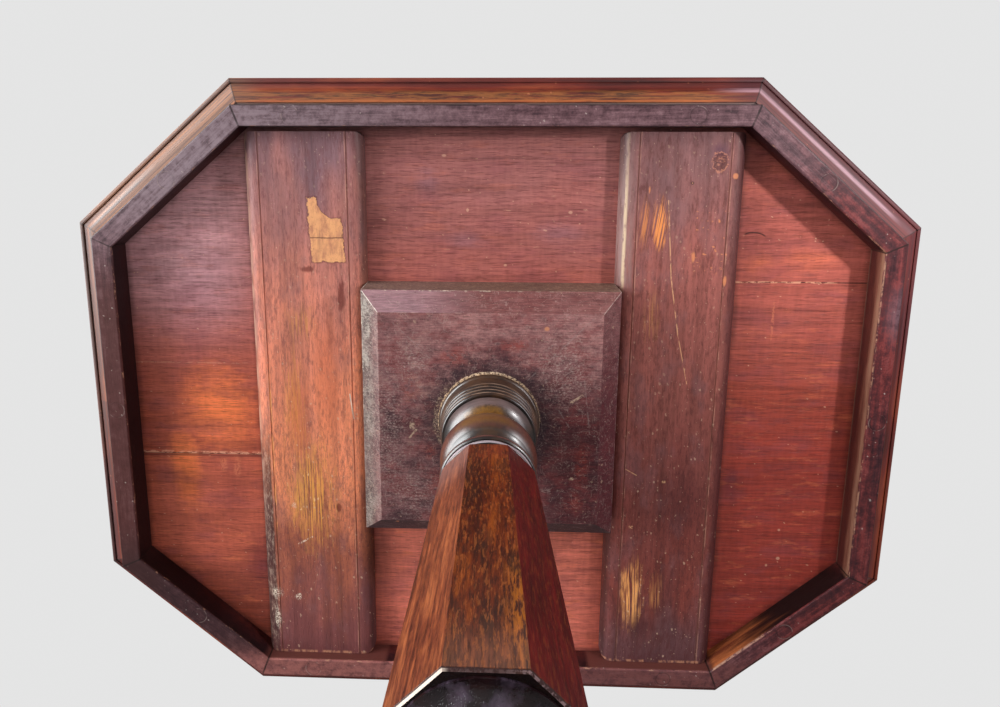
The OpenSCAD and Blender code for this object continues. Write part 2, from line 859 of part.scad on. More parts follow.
module rail_back() {
    color([0.36, 0.17, 0.15]) rail(BACK);
}

module rail_back_left() {
    color([0.36, 0.17, 0.15]) rail(BACK_LEFT);
}

module rail_left() {
    color([0.36, 0.17, 0.15]) rail(LEFT);
}

module rail_front_left() {
    color([0.36, 0.17, 0.15]) rail(FRONT_LEFT);
}

module batten_left() {
    batten(-1);
}

module batten_right() {
    batten(1);
}

module leg_back() {
    leg(0);
}

module leg_left() {
    leg(1);
}

module leg_right() {
    leg(2);
}

board_front();
board_middle();
board_back();
moulding_front();
moulding_front_right();
moulding_right();
moulding_back_right();
moulding_back();
moulding_back_left();
moulding_left();
moulding_front_left();
rail_front();
rail_front_right();
rail_right();
rail_back_right();
rail_back();
rail_back_left();
rail_left();
rail_front_left();
pellets();
screws();
batten_left();
batten_right();
block();
base_collar();
neck_collar();
tenon_wedge();
shaft();
pedestal();
leg_back();
leg_left();
leg_right();
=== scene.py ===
import math

import bpy
from mathutils import Matrix, Vector


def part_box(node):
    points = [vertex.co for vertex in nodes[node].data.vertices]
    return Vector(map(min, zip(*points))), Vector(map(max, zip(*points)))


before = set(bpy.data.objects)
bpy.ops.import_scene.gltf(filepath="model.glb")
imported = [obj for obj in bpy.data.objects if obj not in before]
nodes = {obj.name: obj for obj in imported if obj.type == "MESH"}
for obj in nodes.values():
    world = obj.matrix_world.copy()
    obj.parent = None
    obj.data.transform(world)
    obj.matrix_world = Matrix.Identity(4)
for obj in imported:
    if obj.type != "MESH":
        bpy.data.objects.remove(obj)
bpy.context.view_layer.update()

# Sizes of the table in millimetres, as the frame has them
TOP_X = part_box("moulding_right")[1].x * 1000
TOP_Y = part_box("moulding_back")[1].y * 1000
TOP_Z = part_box("board_middle")[1].z * 1000
BOARD_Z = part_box("board_middle")[0].z * 1000
RAIL_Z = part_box("rail_front")[0].z * 1000
CANT_X = TOP_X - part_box("moulding_front")[1].x * 1000
CANT_Y = TOP_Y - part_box("moulding_right")[1].y * 1000
MOULD_IN = TOP_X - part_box("rail_right")[1].x * 1000
RAIL_IN = TOP_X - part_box("rail_right")[0].x * 1000
BOARD_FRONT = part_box("board_middle")[0].y * 1000
BOARD_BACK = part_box("board_middle")[1].y * 1000
BATTEN_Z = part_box("batten_left")[0].z * 1000
BATTEN_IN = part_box("batten_right")[0].x * 1000
BATTEN_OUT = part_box("batten_right")[1].x * 1000
BATTEN_LINE = 9.6
BLOCK_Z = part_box("block")[0].z * 1000
BLOCK_LOW, BLOCK_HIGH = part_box("block")
COLUMN_Y = (BLOCK_LOW.y + BLOCK_HIGH.y) * 500
BLOCK_HALF = BLOCK_HIGH.x * 1000
BLOCK_FACE = BLOCK_HALF - 11
CHAMFER_Z = 10
RING_Z = BLOCK_Z - 11.5
RING_PITCH = 3.8
SHAFT_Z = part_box("neck_collar")[0].z * 1000
NECK_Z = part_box("base_collar")[0].z * 1000
RIM_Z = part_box("pedestal")[1].z * 1000


def srgb(r, g, b):
    """A colour written as 0 to 255 screen values, as a linear colour."""
    def linear(c):
        c /= 255
        return c / 12.92 if c <= 0.04045 else ((c + 0.055) / 1.055) ** 2.4
    return (linear(r), linear(g), linear(b), 1.0)


class Graph:
    """Short names for the nodes of one material, with positions in millimetres."""

    def __init__(self, name):
        self.material = bpy.data.materials.new(name)
        self.material.use_nodes = True
        self.tree = self.material.node_tree
        self.tree.nodes.clear()
        self.shader = self.node("BsdfPrincipled")
        self.node("OutputMaterial", self.shader.outputs[0])
        coords = self.node("TexCoord").outputs["Object"]
        self.place = self.vector("MULTIPLY", coords, (1000, 1000, 1000))
        self.x, self.y, self.z = self.split(self.place)

    def put(self, socket, value):
        if isinstance(value, bpy.types.NodeSocket):
            self.tree.links.new(value, socket)
        elif socket.type == "RGBA":
            socket.default_value = srgb(*value)
        else:
            socket.default_value = value

    def node(self, kind, *values, **settings):
        """A new node with its settings and the values of its first inputs."""
        node = self.tree.nodes.new("ShaderNode" + kind)
        for name, setting in settings.items():
            setattr(node, name, setting)
        for socket, value in zip(node.inputs, values):
            self.put(socket, value)
        return node

    def math(self, operation, *values, clamp=False):
        return self.node("Math", *values, operation=operation, use_clamp=clamp).outputs[0]

    def add(self, a, b):
        return self.math("ADD", a, b)

    def sub(self, a, b):
        return self.math("SUBTRACT", a, b)

    def mul(self, a, b, *more):
        product = self.math("MULTIPLY", a, b)
        for value in more:
            product = self.math("MULTIPLY", product, value)
        return product

    def low(self, a, b):
        return self.math("MINIMUM", a, b)

    def high(self, a, b, *more):
        top = self.math("MAXIMUM", a, b)
        for value in more:
            top = self.math("MAXIMUM", top, value)
        return top

    def away(self, a, b):
        """Distance between two numbers."""
        return self.math("ABSOLUTE", self.sub(a, b))

    def vector(self, operation, *values):
        node = self.node("VectorMath", *values, operation=operation)
        return node.outputs["Value" if operation in ("LENGTH", "DOT_PRODUCT") else "Vector"]

    def split(self, vector):
        return self.node("SeparateXYZ", vector).outputs

    def join(self, x, y, z):
        return self.node("CombineXYZ", x, y, z).outputs[0]

    def fade(self, value, start, end, low=0.0, high=1.0):
        """Runs smoothly from low at start to high at end."""
        if start > end:
            start, end, low, high = end, start, high, low
        return self.node("MapRange", value, start, end, low, high,
                         interpolation_type="SMOOTHSTEP").outputs[0]

    def by_x(self, *numbers):
        return self.fade(self.x, *numbers)

    def by_y(self, *numbers):
        return self.fade(self.y, *numbers)

    def by_z(self, *numbers):
        return self.fade(self.z, *numbers)

    def near(self, value, middle, *numbers):
        """Fades with the distance from a middle."""
        return self.fade(self.away(value, middle), *numbers)

    def sway(self, noise, amount):
        """A noise's swing about nought, times an amount."""
        return self.mul(self.sub(noise, 0.5), amount)

    def noise(self, size, detail=2.0, rough=0.5, warp=0.0, seed=0.0, place=None):
        """Noise of a feature size in millimetres, or of three sizes along x, y and z."""
        sizes = size if isinstance(size, tuple) else (size, size, size)
        scaled = self.vector("MULTIPLY", place or self.place, tuple(1 / s for s in sizes))
        node = self.node("TexNoise", self.vector("ADD", scaled, (seed, seed * 1.7, seed * 2.3)))
        for name, value in (("Scale", 1.0), ("Detail", detail), ("Roughness", rough),
                            ("Distortion", warp)):
            self.put(node.inputs[name], value)
        return node.outputs["Fac"]

    def cells(self, place, sizes):
        """Distance from, and two random numbers of, the nearest of scattered points."""
        node = self.node("TexVoronoi", self.vector("MULTIPLY", place, tuple(1 / s for s in sizes)))
        self.put(node.inputs["Scale"], 1.0)
        chance = self.split(node.outputs["Color"])
        return node.outputs["Distance"], chance[0], chance[1]

    def facing(self):
        """Parts of the surface's own normal, in the table's frame."""
        return self.split(self.node("NewGeometry").outputs["True Normal"])

    def mix(self, share, a, b):
        node = self.node("Mix", share, data_type="RGBA")
        self.put(node.inputs[6], a)
        self.put(node.inputs[7], b)
        return node.outputs[2]

    def ramp(self, value, *stops):
        node = self.node("ValToRGB", value)
        elements = node.color_ramp.elements
        for i, (place, colour) in enumerate(stops):
            element = elements[i] if i < len(elements) else elements.new(place)
            element.position = place
            element.color = srgb(*colour)
        return node.outputs["Color"]

    def lay(self, over, *masks):
        """Lays a colour over the wood's colour, as far as the product of the masks."""
        self.colour = self.mix(self.mul(*masks) if len(masks) > 1 else masks[0], self.colour, over)

    def shade(self, amount, level=1.0):
        """Lightens and darkens the wood's colour."""
        self.colour = self.scale(self.colour, self.add(level, amount))

    def scale(self, colour, value):
        """A colour times a number."""
        out = self.vector("SCALE", colour)
        self.put(out.node.inputs["Scale"], value)
        return out

    def bump(self, height, depth):
        """Bump from a height in millimetres."""
        node = self.node("Bump")
        self.put(node.inputs["Height"], height)
        self.put(node.inputs["Distance"], depth * 0.001)
        return node.outputs[0]

    def reach(self, x, y, rx=1, ry=1):
        """Distance in plan from a point, in shares of two radii."""
        off = self.vector("SUBTRACT", self.place, (x, y, 0))
        return self.vector("LENGTH", self.vector("MULTIPLY", off, (1 / rx, 1 / ry, 0)))

    def blot(self, x, y, rx, ry, soft=0.5, ragged=0.3):
        """A soft-edged blot about a point of the plan, in millimetres."""
        reach = self.reach(x, y, rx, ry)
        if ragged:
            reach = self.add(reach, self.sway(self.ragged, 2 * ragged))
        return self.fade(reach, 1.0, 1.0 - soft)

    def blots(self, *blots):
        """Several blots taken together."""
        return self.high(*[self.blot(*numbers) for numbers in blots])

    def scratch(self, start, end, width, soft=0.4):
        """A straight scratch between two points of the plan."""
        a = Vector((*start, 0))
        run = Vector((*end, 0)) - a
        flat = self.vector("MULTIPLY", self.place, (1, 1, 0))
        off = self.vector("SUBTRACT", flat, tuple(a))
        along = self.math("DIVIDE", self.vector("DOT_PRODUCT", off, tuple(run)),
                          run.length_squared)
        along = self.low(self.high(along, 0.0), 1.0)
        on = self.scale(tuple(run), along)
        gap = self.vector("LENGTH", self.vector("SUBTRACT", off, on))
        return self.fade(gap, width / 2 + soft, width / 2)

    def sides(self):
        """Distances in from the nearest end, front or back, and canted side of the top."""
        right = self.sub(TOP_X, self.away(self.x, 0))
        back = self.sub(TOP_Y, self.away(self.y, 0))
        run = math.hypot(CANT_X, CANT_Y)
        cant = self.add(self.mul(right, CANT_Y / run), self.mul(back, CANT_X / run))
        return right, back, self.sub(cant, CANT_X * CANT_Y / run)

    def inset(self):
        """Distance in from the outer edge of the eight-sided top."""
        right, back, cant = self.sides()
        return self.low(self.low(right, back), cant)

    def finish(self, rough, normal=None, coat=0.0, coat_rough=0.2, shine=0.25):
        self.put(self.shader.inputs["Base Color"], self.colour)
        self.put(self.shader.inputs["Roughness"], rough)
        if normal is not None:
            self.put(self.shader.inputs["Normal"], normal)
            self.put(self.shader.inputs["Coat Normal"], normal)
        self.shader.inputs["Specular IOR Level"].default_value = shine
        self.shader.inputs["Coat Weight"].default_value = coat
        self.shader.inputs["Coat Roughness"].default_value = coat_rough
        return self.material


def dress(node, material):
    """Gives a CAD node its material."""
    mesh = nodes[node].data
    if not mesh.materials:
        mesh.materials.append(material)
    for i in range(len(mesh.materials)):
        mesh.materials[i] = material


# Wood colours, as they look in plain light
WINE = (84, 34, 32)
SOOT = (30, 18, 16)
DUST = (150, 136, 132)
CHALK = (226, 208, 188)
TAN = (200, 124, 88)


def sized(axis, along, across):
    """Three noise sizes, long along one axis."""
    return tuple(along if a == axis else across for a in "xyz")


def wood(g, axis, place=None, wander=6.0, seed=0.0):
    """Fibre, streak and pore noises of wood with its grain along an axis."""
    place = g.place if place is None else place
    bend = g.sway(g.noise(sized(axis, 110, 45), 1, seed=seed + 40, place=place), wander)
    line = g.vector("ADD", place, g.join(*[0.0 if a == axis else bend for a in "xyz"]))
    fibre = g.noise(sized(axis, 42, 1.4), 3, 0.6, seed=seed, place=line)
    streak = g.noise(sized(axis, 150, 7), 3, seed=seed + 3, place=line)
    pores = g.fade(g.noise(sized(axis, 7, 0.45), 1, seed=seed + 8, place=line), 0.58, 0.72)
    return line, fibre, streak, pores


def specks(g, size, share, seed=0.0, big=0.22):
    """Ragged specks of several sizes: share is the part of the cells that have one."""
    sizes = size if isinstance(size, tuple) else (size, size, size)
    rag = g.sub(g.noise(tuple(s * 0.45 for s in sizes), 2, 0.6, seed=seed + 60), 0.5)
    place = g.vector("ADD", g.place, g.join(*[g.mul(rag, s * 0.9) for s in sizes]))
    place = g.vector("ADD", place, (seed, seed * 3, seed * 5))
    distance, chance, other = g.cells(place, sizes)
    radius = g.add(0.06, g.mul(other, big))
    return g.mul(g.fade(g.sub(distance, radius), 0.06, -0.06),
                 g.fade(chance, 1 - share, 1 - share * 0.7))


def broken(g, mask, size=2.5, seed=36.0):
    """A mark with parts of it worn away."""
    return g.mul(mask, g.fade(g.noise(size, 3, 0.7, seed=seed), 0.4, 0.52))


def top_finish(g, rough, bump):
    """Swaps in polished, figured wood on what lies above the boards' middle."""
    on_top = g.by_z(BOARD_Z + 6, BOARD_Z + 8)
    line = g.vector("ADD", g.place, g.join(0.0, g.mul(g.noise((130, 60, 60), 2), 30), 0.0))
    figure = g.noise((190, 6, 6), 4, 0.55, seed=21, place=line)
    flame = g.noise((26, 60, 60), 2, seed=25, place=line)
    polish = g.ramp(g.add(g.mul(figure, 0.75), g.mul(flame, 0.25)), (0.34, (74, 28, 15)),
                    (0.5, (120, 52, 26)), (0.66, (164, 84, 44)))
    pores = g.fade(g.noise((9, 0.5, 0.5), 1, seed=28, place=line), 0.6, 0.74)
    polish = g.mix(g.mul(pores, 0.5), polish, SOOT)
    g.lay(polish, on_top)
    rough = g.add(g.mul(rough, g.sub(1.0, on_top)), g.mul(on_top, 0.16))
    bump = g.mul(bump, g.sub(1.0, g.mul(on_top, 0.85)))
    return rough, bump


def board_wood():
    g = Graph("board_wood")
    line, fibre, streak, pores = wood(g, "x")
    g.ragged = g.noise((5, 2.5, 5), 3, 0.6, seed=2)
    cloud = g.noise((60, 28, 28), 3, seed=11)
    ripple = g.noise((2.2, 12, 12), 2, seed=5)

    # The front is mauve with dust and painted sheen, the middle orange and the back a deeper red
    run = g.add(g.y, g.sway(cloud, 90))
    run = g.math("DIVIDE", g.add(run, TOP_Y), 2 * TOP_Y)
    g.colour = g.ramp(run, (0.16, (150, 92, 88)), (0.36, (164, 86, 74)), (0.52, (160, 76, 56)),
                      (0.7, (156, 72, 54)), (0.9, (148, 64, 52)))
    g.lay((140, 52, 44), g.by_x(60, 170), g.by_y(-100, 50), 0.85)
    g.lay((160, 78, 66), g.by_x(60, 150), g.by_y(-20, -80), 0.8)
    # Pale pink at the front left: dust and painted sheen
    g.lay((194, 144, 148), g.by_x(-120, -180), g.by_y(-20, -100), 0.85)
    g.lay((206, 112, 94), g.near(g.x, 0, 90, 50), g.by_y(60, 90), 0.85)
    g.lay((188, 94, 72), g.by_x(-120, -160), g.by_y(20, 60), 0.7)
    g.lay((130, 60, 46), g.by_x(-120, -150), g.by_y(95, 130), 0.85)
    glow = g.high(g.blot(-172, 4, 34, 40, 0.9), g.blot(-197, 38, 14, 28, 0.8),
                  g.mul(g.blot(190, -95, 26, 10, 1.0), 0.3),
                  g.mul(g.blot(160, -92, 14, 12, 1.0), 0.3))
    g.lay((226, 116, 66), glow, 0.85)
    maroon = g.high(g.blot(153, 48, 7, 16, 0.8), g.blot(-150, 110, 14, 30, 0.9),
                    g.mul(g.blot(-166, 62, 16, 26, 1.0), 0.6),
                    g.mul(g.blot(200, -50, 22, 14, 1.0), 0.5))
    g.lay((104, 40, 44), maroon, 0.6)
    g.lay((196, 98, 52), g.blot(-196, 58, 13, 30, 0.9), 0.7)
    # Mauve haze at the front and front left: dust and painted sheen
    dust_and_sheen = g.blots((-38, -140, 10, 12, 0.9), (-15, -105, 18, 7, 0.9), (40, -110, 22, 9, 0.9),
                   (-180, -70, 40, 40, 1.0))
    g.lay((130, 96, 110), dust_and_sheen, 0.35)

    # Grain
    g.lay((116, 60, 68), g.fade(g.noise((34, 15, 15), 4, 0.65, seed=13), 0.47, 0.66), 0.32)
    ember = g.fade(g.noise((22, 6, 8), 4, 0.65, seed=16), 0.54, 0.7)
    g.lay((206, 108, 72), ember, g.by_y(-80, 0, 0.15, 0.4))
    shade = g.add(g.sway(fibre, 1.2), g.sway(streak, 0.8))
    shade = g.add(shade, g.sway(ripple, 0.4))
    g.shade(shade, 1.1)
    ticks = g.fade(g.noise((11, 0.7, 2), 2, 0.6, seed=19, place=line), 0.56, 0.66)
    g.lay(WINE, g.high(pores, ticks), 0.42)

    # Joints, with pale glue and drips: open at the right in front and at the left behind
    left_bay = g.by_x(-140, -146)
    right_bay = g.by_x(140, 146)
    seam_front = g.mul(g.near(g.y, BOARD_FRONT, 0.5, 0.15), g.by_x(60, 170, 0.25, 1.0))
    seam_back = g.mul(g.near(g.y, BOARD_BACK, 0.6, 0.2), g.by_x(-60, -140, 0.2, 1.0))
    g.lay(SOOT, g.high(seam_front, seam_back), 0.75)
    dashes = g.fade(g.noise((5, 1.6, 3), 4, 0.7, seed=31), 0.44, 0.54)
    crust = g.mul(g.near(g.y, BOARD_BACK - 0.7, 1.3, 0.3), left_bay, dashes)
    crust = g.high(crust, g.mul(g.near(g.y, BOARD_FRONT, 0.9, 0.2), right_bay, dashes,
                                g.by_x(212, 196)))
    crust = g.high(crust, g.mul(g.near(g.y, -26, 0.8, 0.2), left_bay, dashes, 0.35))
    drips = g.blots((-163, 44, 3, 11, 0.7, 0.9), (-172, 42, 4, 8, 0.8, 0.9),
                    (170.5, -58, 1.1, 16, 0.7, 0.6))
    g.lay((224, 128, 92), broken(g, drips, (1.4, 3, 3), 34), 0.4)
    g.lay((226, 158, 128), crust, 0.8)
    g.lay(WINE, g.near(g.y, BOARD_BACK + 1.4, 1.2, 0.2), left_bay, 0.55)

    # Pale specks and short scuffs
    white = g.high(specks(g, (2.2, 1.6, 4), 0.05), specks(g, (6, 3, 6), 0.015, seed=4, big=0.12))
    scuff = g.mul(specks(g, (9, 1.7, 6), 0.16, seed=8, big=0.2), g.by_y(-70, -125),
                  g.near(g.x, 0, 60, 30))
    marks = g.blots((-28, -155, 1.8, 1), (47, -122, 1.6, 1.2), (-14, -123, 1, 1.4),
                    (9, -90, 1.3, 1), (187, 100, 1.4, 1.4), (180, 105, 1, 1.3), (186, 80, 1, 1))
    g.lay((226, 176, 146), g.high(white, scuff, marks), 0.45)
    crack = g.mul(g.near(g.reach(155, -98), 12.8, 0.7, 0.2), g.near(g.x, 156, 7, 5),
                  g.by_y(-100, -104))
    g.lay(SOOT, crack, 0.75)

    # Grime and painted shade where the rails and battens stand on the boards
    wall = g.sub(g.inset(), RAIL_IN)
    sides = g.low(wall, g.away(g.away(g.x, 0), BATTEN_OUT))
    g.lay(SOOT, g.fade(g.add(sides, g.sway(cloud, 6)), 4.0, -0.5), 0.45)

    rough = g.add(0.34, g.mul(cloud, 0.24))
    height = g.sub(g.add(g.mul(fibre, 0.5), g.mul(ripple, 0.6)), pores)
    rough, height = top_finish(g, rough, height)
    return g.finish(rough, g.bump(height, 0.09))


def ring_place(g):
    """Positions as they run round the top: along the edge, in from it, and up."""
    turn = g.mul(g.math("ARCTAN2", g.y, g.x), 220.0)
    return g.join(turn, g.inset(), g.z)


def mitres(g, width):
    """Where two sides of the eight-sided top are equally near."""
    right, back, cant = g.sides()
    least = g.low(g.low(right, back), cant)
    most = g.high(right, back, cant)
    middle = g.sub(g.add(g.add(right, back), cant), g.add(least, most))
    return g.fade(g.sub(middle, least), width, width * 0.4)


def moulding_wood():
    g = Graph("moulding_wood")
    ring = ring_place(g)
    fibre = g.noise((60, 1.2, 1.2), 3, 0.6, place=ring)
    streak = g.noise((120, 4, 4), 3, seed=4, place=ring)
    pores = g.fade(g.noise((7, 0.5, 0.5), 1, seed=8, place=ring), 0.58, 0.72)
    patch = g.noise((50, 50, 12), 3, seed=12)
    g.colour = g.ramp(g.add(g.mul(streak, 0.5), g.mul(patch, 0.5)), (0.36, (58, 14, 12)),
                      (0.5, (98, 30, 20)), (0.64, (140, 62, 32)))
    g.shade(g.sway(fibre, 0.9))
    # Worn, golden wood on the lower part of the sweep, with dark remains in it
    low = g.mul(g.fade(g.inset(), MOULD_IN * 0.4, MOULD_IN * 0.6), g.by_z(BOARD_Z + 2, BOARD_Z))
    worn = g.fade(g.noise((26, 1.6, 1.6), 4, 0.7, seed=15, place=ring), 0.38, 0.56)
    front = g.mul(g.by_y(-60, -190, 0.3, 1.0), g.by_x(190, 150, 0.1, 1.0))
    g.lay((152, 92, 44), low, worn, front, 0.7)
    g.lay((40, 20, 16), low, g.fade(g.noise((16, 1.2, 1.2), 4, 0.7, seed=18, place=ring), 0.5,
                                    0.64), 0.8)
    g.lay((186, 96, 44), g.near(g.inset(), MOULD_IN - 2.6, 0.9, 0.3), low, front, 0.6)
    gilt = g.high(g.mul(g.by_x(-130, -160), g.by_y(-90, -125)),
                  g.mul(g.by_x(-236, -244), g.by_y(90, -60), 0.5))
    lines = g.add(g.mul(g.noise((70, 0.9, 0.9), 3, 0.65, seed=35, place=ring), 0.75),
                  g.mul(streak, 0.25))
    g.lay(g.ramp(lines, (0.38, (70, 48, 44)), (0.48, (108, 72, 54)), (0.6, (150, 94, 56))), gilt,
          0.9)
    # Painted highlight along the crest, between maroon flanks at the front right
    cant = g.mul(g.by_x(120, 150), g.by_y(40, -90))
    g.lay(g.ramp(streak, (0.4, (66, 22, 28)), (0.6, (96, 38, 42))), cant, 0.8)
    crest_highlight = g.mul(g.near(g.inset(), MOULD_IN * 0.47, 1.8, 0.3), g.by_x(240, 226), cant)
    g.lay((166, 126, 134), crest_highlight, g.fade(fibre, 0.3, 0.6, 0.35, 1.0))
    g.lay(SOOT, pores, 0.4)
    g.lay((112, 96, 94), g.fade(g.inset(), MOULD_IN - 1.7, MOULD_IN - 1.2),
          g.by_z(BOARD_Z, BOARD_Z - 1), 0.7)
    g.lay(SOOT, mitres(g, 0.45), 0.6)
    g.lay(TAN, specks(g, (2.6, 2.6, 2.0), 0.04), 0.4)
    g.lay((64, 26, 20), g.near(g.inset(), MOULD_IN - 5.2, 0.5, 0.15), g.fade(streak, 0.36, 0.56),
          low, 0.6)
    g.colour = g.scale(g.colour, g.by_x(-250, -241, 0.5, 1.0))
    # Polished along the crown of the sweep, and duller elsewhere
    along = g.high(g.by_x(-185, -222), g.by_x(-150, -130), 0.3)
    crown = g.mul(g.near(g.inset(), MOULD_IN * 0.45, 2.2, 0.4), g.by_x(-246, -238, 0.3, 1.0),
                  along)
    rough = g.sub(g.add(0.5, g.mul(streak, 0.2)), g.mul(crown, 0.3))
    return g.finish(rough, g.bump(g.noise((90, 2, 2), 1, seed=31, place=ring), 0.006), shine=0.45)


def disc_centres(node, gap=0.02):
    """Middles in plan, in millimetres, of the separate small solids of a node."""
    groups = []
    for vertex in nodes[node].data.vertices:
        for group in groups:
            if (vertex.co.xy - group[0]).length < gap:
                group.append(vertex.co.xy.copy())
                break
        else:
            groups.append([vertex.co.xy.copy()])

    def middle(values):
        return (min(values) + max(values)) * 500
    return [(middle([p.x for p in group]), middle([p.y for p in group])) for group in groups]


def pellet_rings(g, radius=5.0, width=0.45):
    """Pale, broken rings round the pellets, and the distance from the nearest middle."""
    nearest = 1000.0
    for middle in disc_centres("pellets"):
        nearest = g.low(nearest, g.reach(*middle))
    whole = g.fade(g.noise(6, 2, seed=17), 0.46, 0.58)
    return g.mul(g.near(nearest, radius, width, 0.1), whole), nearest


def rail_wood():
    g = Graph("rail_wood")
    ring = ring_place(g)
    fibre = g.noise((12, 0.9, 0.9), 3, 0.65, place=ring)
    band = g.noise((60, 3.5, 3.5), 3, seed=3, place=ring)
    mottle = g.noise((5, 5, 5), 6, 0.78, seed=6)
    tone = g.add(g.mul(fibre, 0.25), g.add(g.mul(band, 0.25), g.mul(mottle, 0.5)))
    g.colour = g.ramp(tone, (0.4, (50, 25, 30)), (0.47, (78, 45, 50)), (0.53, (96, 58, 62)),
                      (0.6, (126, 90, 94)))
    # Dusty in front and at the left, red-brown at the sides, dark at the right and behind left
    g.lay((140, 123, 130), g.by_y(-70, -150), g.by_x(30, -170, 0.25, 1.0),
          g.fade(tone, 0.4, 0.56, 0.3, 0.8))
    g.lay((74, 36, 31), g.by_x(-200, -222), g.by_y(-110, -60), 0.75)
    g.lay(g.mix(g.by_x(-40, 80), (154, 94, 86), (114, 66, 62)), g.by_y(150, 176),
          g.fade(mottle, 0.35, 0.6, 0.3, 0.8))
    g.lay((44, 24, 26), g.by_x(-130, -160), g.by_y(70, 110), g.by_y(176, 160), 0.7)
    deep = g.mul(g.by_x(150, 200), g.by_y(-190, -120, 0.5, 1.0))
    g.lay(g.ramp(g.add(g.mul(band, 0.5), g.mul(mottle, 0.5)), (0.4, (46, 21, 26)),
                 (0.5, (74, 27, 28)), (0.58, (114, 40, 36))), deep, 0.75)
    g.ragged = mottle
    bloom_and_sheen = g.mul(g.blots((234, -66, 10, 26, 0.9, 0.8), (196, -158, 20, 12, 0.9, 0.8)), 0.6)
    g.lay((104, 84, 92), bloom_and_sheen, g.fade(mottle, 0.38, 0.56, 0.4, 1.0))

    # Faces to the boards: nearly black, worn olive at the right, orange and painted shadow behind
    inner = g.by_z(RAIL_Z + 1.0, RAIL_Z + 1.8)
    lining = g.ramp(g.add(g.mul(mottle, 0.7), g.mul(g.by_z(RAIL_Z, BOARD_Z), 0.3)),
                    (0.3, (22, 8, 12)), (0.5, (44, 16, 19)), (0.72, (76, 28, 24)))
    lining = g.mix(g.mul(g.by_x(-150, -215), 0.75), lining, (24, 8, 11))
    olive = g.by_x(222, 226)
    grain = g.add(g.mul(g.noise((40, 3, 3), 3, 0.6, seed=37, place=ring), 0.7), g.mul(fibre, 0.3))
    depth = g.add(g.mul(grain, 0.6), g.mul(g.by_z(BOARD_Z - 3, RAIL_Z + 2), 0.4))
    worn = g.ramp(depth, (0.3, (60, 24, 20)), (0.46, (102, 51, 40)), (0.6, (148, 94, 74)),
                  (0.74, (190, 140, 114)))
    lining = g.mix(g.mul(olive, 0.95), lining, worn)
    shelf = g.mul(g.near(g.away(g.x, 0), 106, 42, 38), g.by_y(160, 172))
    lining = g.mix(g.mul(shelf, 0.8), lining, (94, 50, 44))
    # Behind at the right, a painted shadow: near black, giving way to orange wood near the batten
    behind = g.mul(g.by_x(144, 148), g.by_y(95, 110), g.by_x(225, 220))
    lining = g.mix(g.mul(behind, 0.95), lining, (20, 7, 7))
    lining = g.mix(g.mul(behind, g.fade(g.add(g.x, g.sway(band, 60)), 186, 150), 0.95), lining,
                   g.ramp(grain, (0.36, (96, 44, 26)), (0.6, (158, 88, 50))))
    g.lay(lining, inner)

    # Chipped edges, mitres and the rims of the pellets
    ragged = g.noise((5, 5, 2), 4, 0.75, seed=19)
    arris = g.near(g.inset(), RAIL_IN, 0.7, 0.2)
    # More pale chips at the right, and fewer in the painted shadow behind at the right
    at_right = g.add(g.mul(g.by_x(205, 222), 0.08), g.mul(behind, g.by_x(165, 200, 0.2, -0.3)))
    g.lay((180, 136, 110), arris, g.fade(g.add(ragged, at_right), 0.56, 0.64),
          g.by_z(RAIL_Z + 2, RAIL_Z + 1), 0.6)
    g.lay((190, 150, 124), olive, g.by_z(BOARD_Z - 1.4, BOARD_Z - 0.9),
          g.fade(ragged, 0.3, 0.6, 0.3, 1.0), 0.2)
    seam = g.mul(g.fade(g.inset(), MOULD_IN + 0.9, MOULD_IN + 0.3), g.fade(ragged, 0.3, 0.5))
    line = g.mul(mitres(g, 0.55), g.fade(g.noise(9, 2, seed=24), 0.3, 0.5, 0.45, 1.0))
    g.lay(SOOT, g.high(seam, line), 0.85)
    rings, nearest = pellet_rings(g)
    g.lay((160, 138, 132), rings, 0.4)
    g.lay(SOOT, g.near(nearest, 4.5, 0.6, 0.1), g.by_x(-60, 60, 0.3, 0.7), 0.5)
    g.lay((196, 180, 172), g.high(specks(g, 1.8, 0.06), specks(g, 4.5, 0.02, seed=7, big=0.15)),
          g.sub(1.0, inner), 0.45)
    rough = g.add(0.3, g.mul(mottle, 0.3))
    return g.finish(rough, g.bump(g.add(fibre, g.mul(mottle, 0.8)), 0.12))


def batten_base(g, tones, dirt, dirt_share):
    """Streaked wood of a batten along y, from a list of tones front to back."""
    _, fibre, streak, pores = wood(g, "y", wander=5, seed=2)
    g.ragged = g.noise((2.2, 9, 4), 3, 0.6, seed=2)
    cloud = g.noise((22, 60, 26), 3, seed=11)
    run = g.add(g.y, g.sway(cloud, 150))
    run = g.math("DIVIDE", g.add(run, TOP_Y), 2 * TOP_Y)
    g.colour = g.ramp(run, *tones)
    g.shade(g.add(g.sway(fibre, 0.75), g.sway(streak, 1.1)))
    g.lay(WINE, pores, 0.35)
    g.lay(dirt, g.fade(g.noise((2.4, 9, 5), 5, 0.78, seed=15), 0.46, 0.66), dirt_share)
    g.lay((128, 96, 100), g.fade(g.noise((14, 30, 10), 3, 0.6, seed=26), 0.5, 0.68), 0.25)
    g.lay(dirt, g.fade(g.noise((1.6, 3.4, 2), 4, 0.8, seed=29), 0.5, 0.62),
          g.by_y(-20, 90, 0.15, 0.45))
    return fibre, pores, cloud


def scrapes(g, area, lean=0.0, seed=61.0):
    """Scraped lines along a batten inside an area, leaning by a share of their length."""
    place = g.vector("ADD", g.place, g.join(g.mul(g.y, lean), 0.0, 0.0))
    lines = g.fade(g.noise((0.9, 34, 4), 3, 0.65, seed=seed, place=place), 0.44, 0.56)
    return g.mul(area, lines)


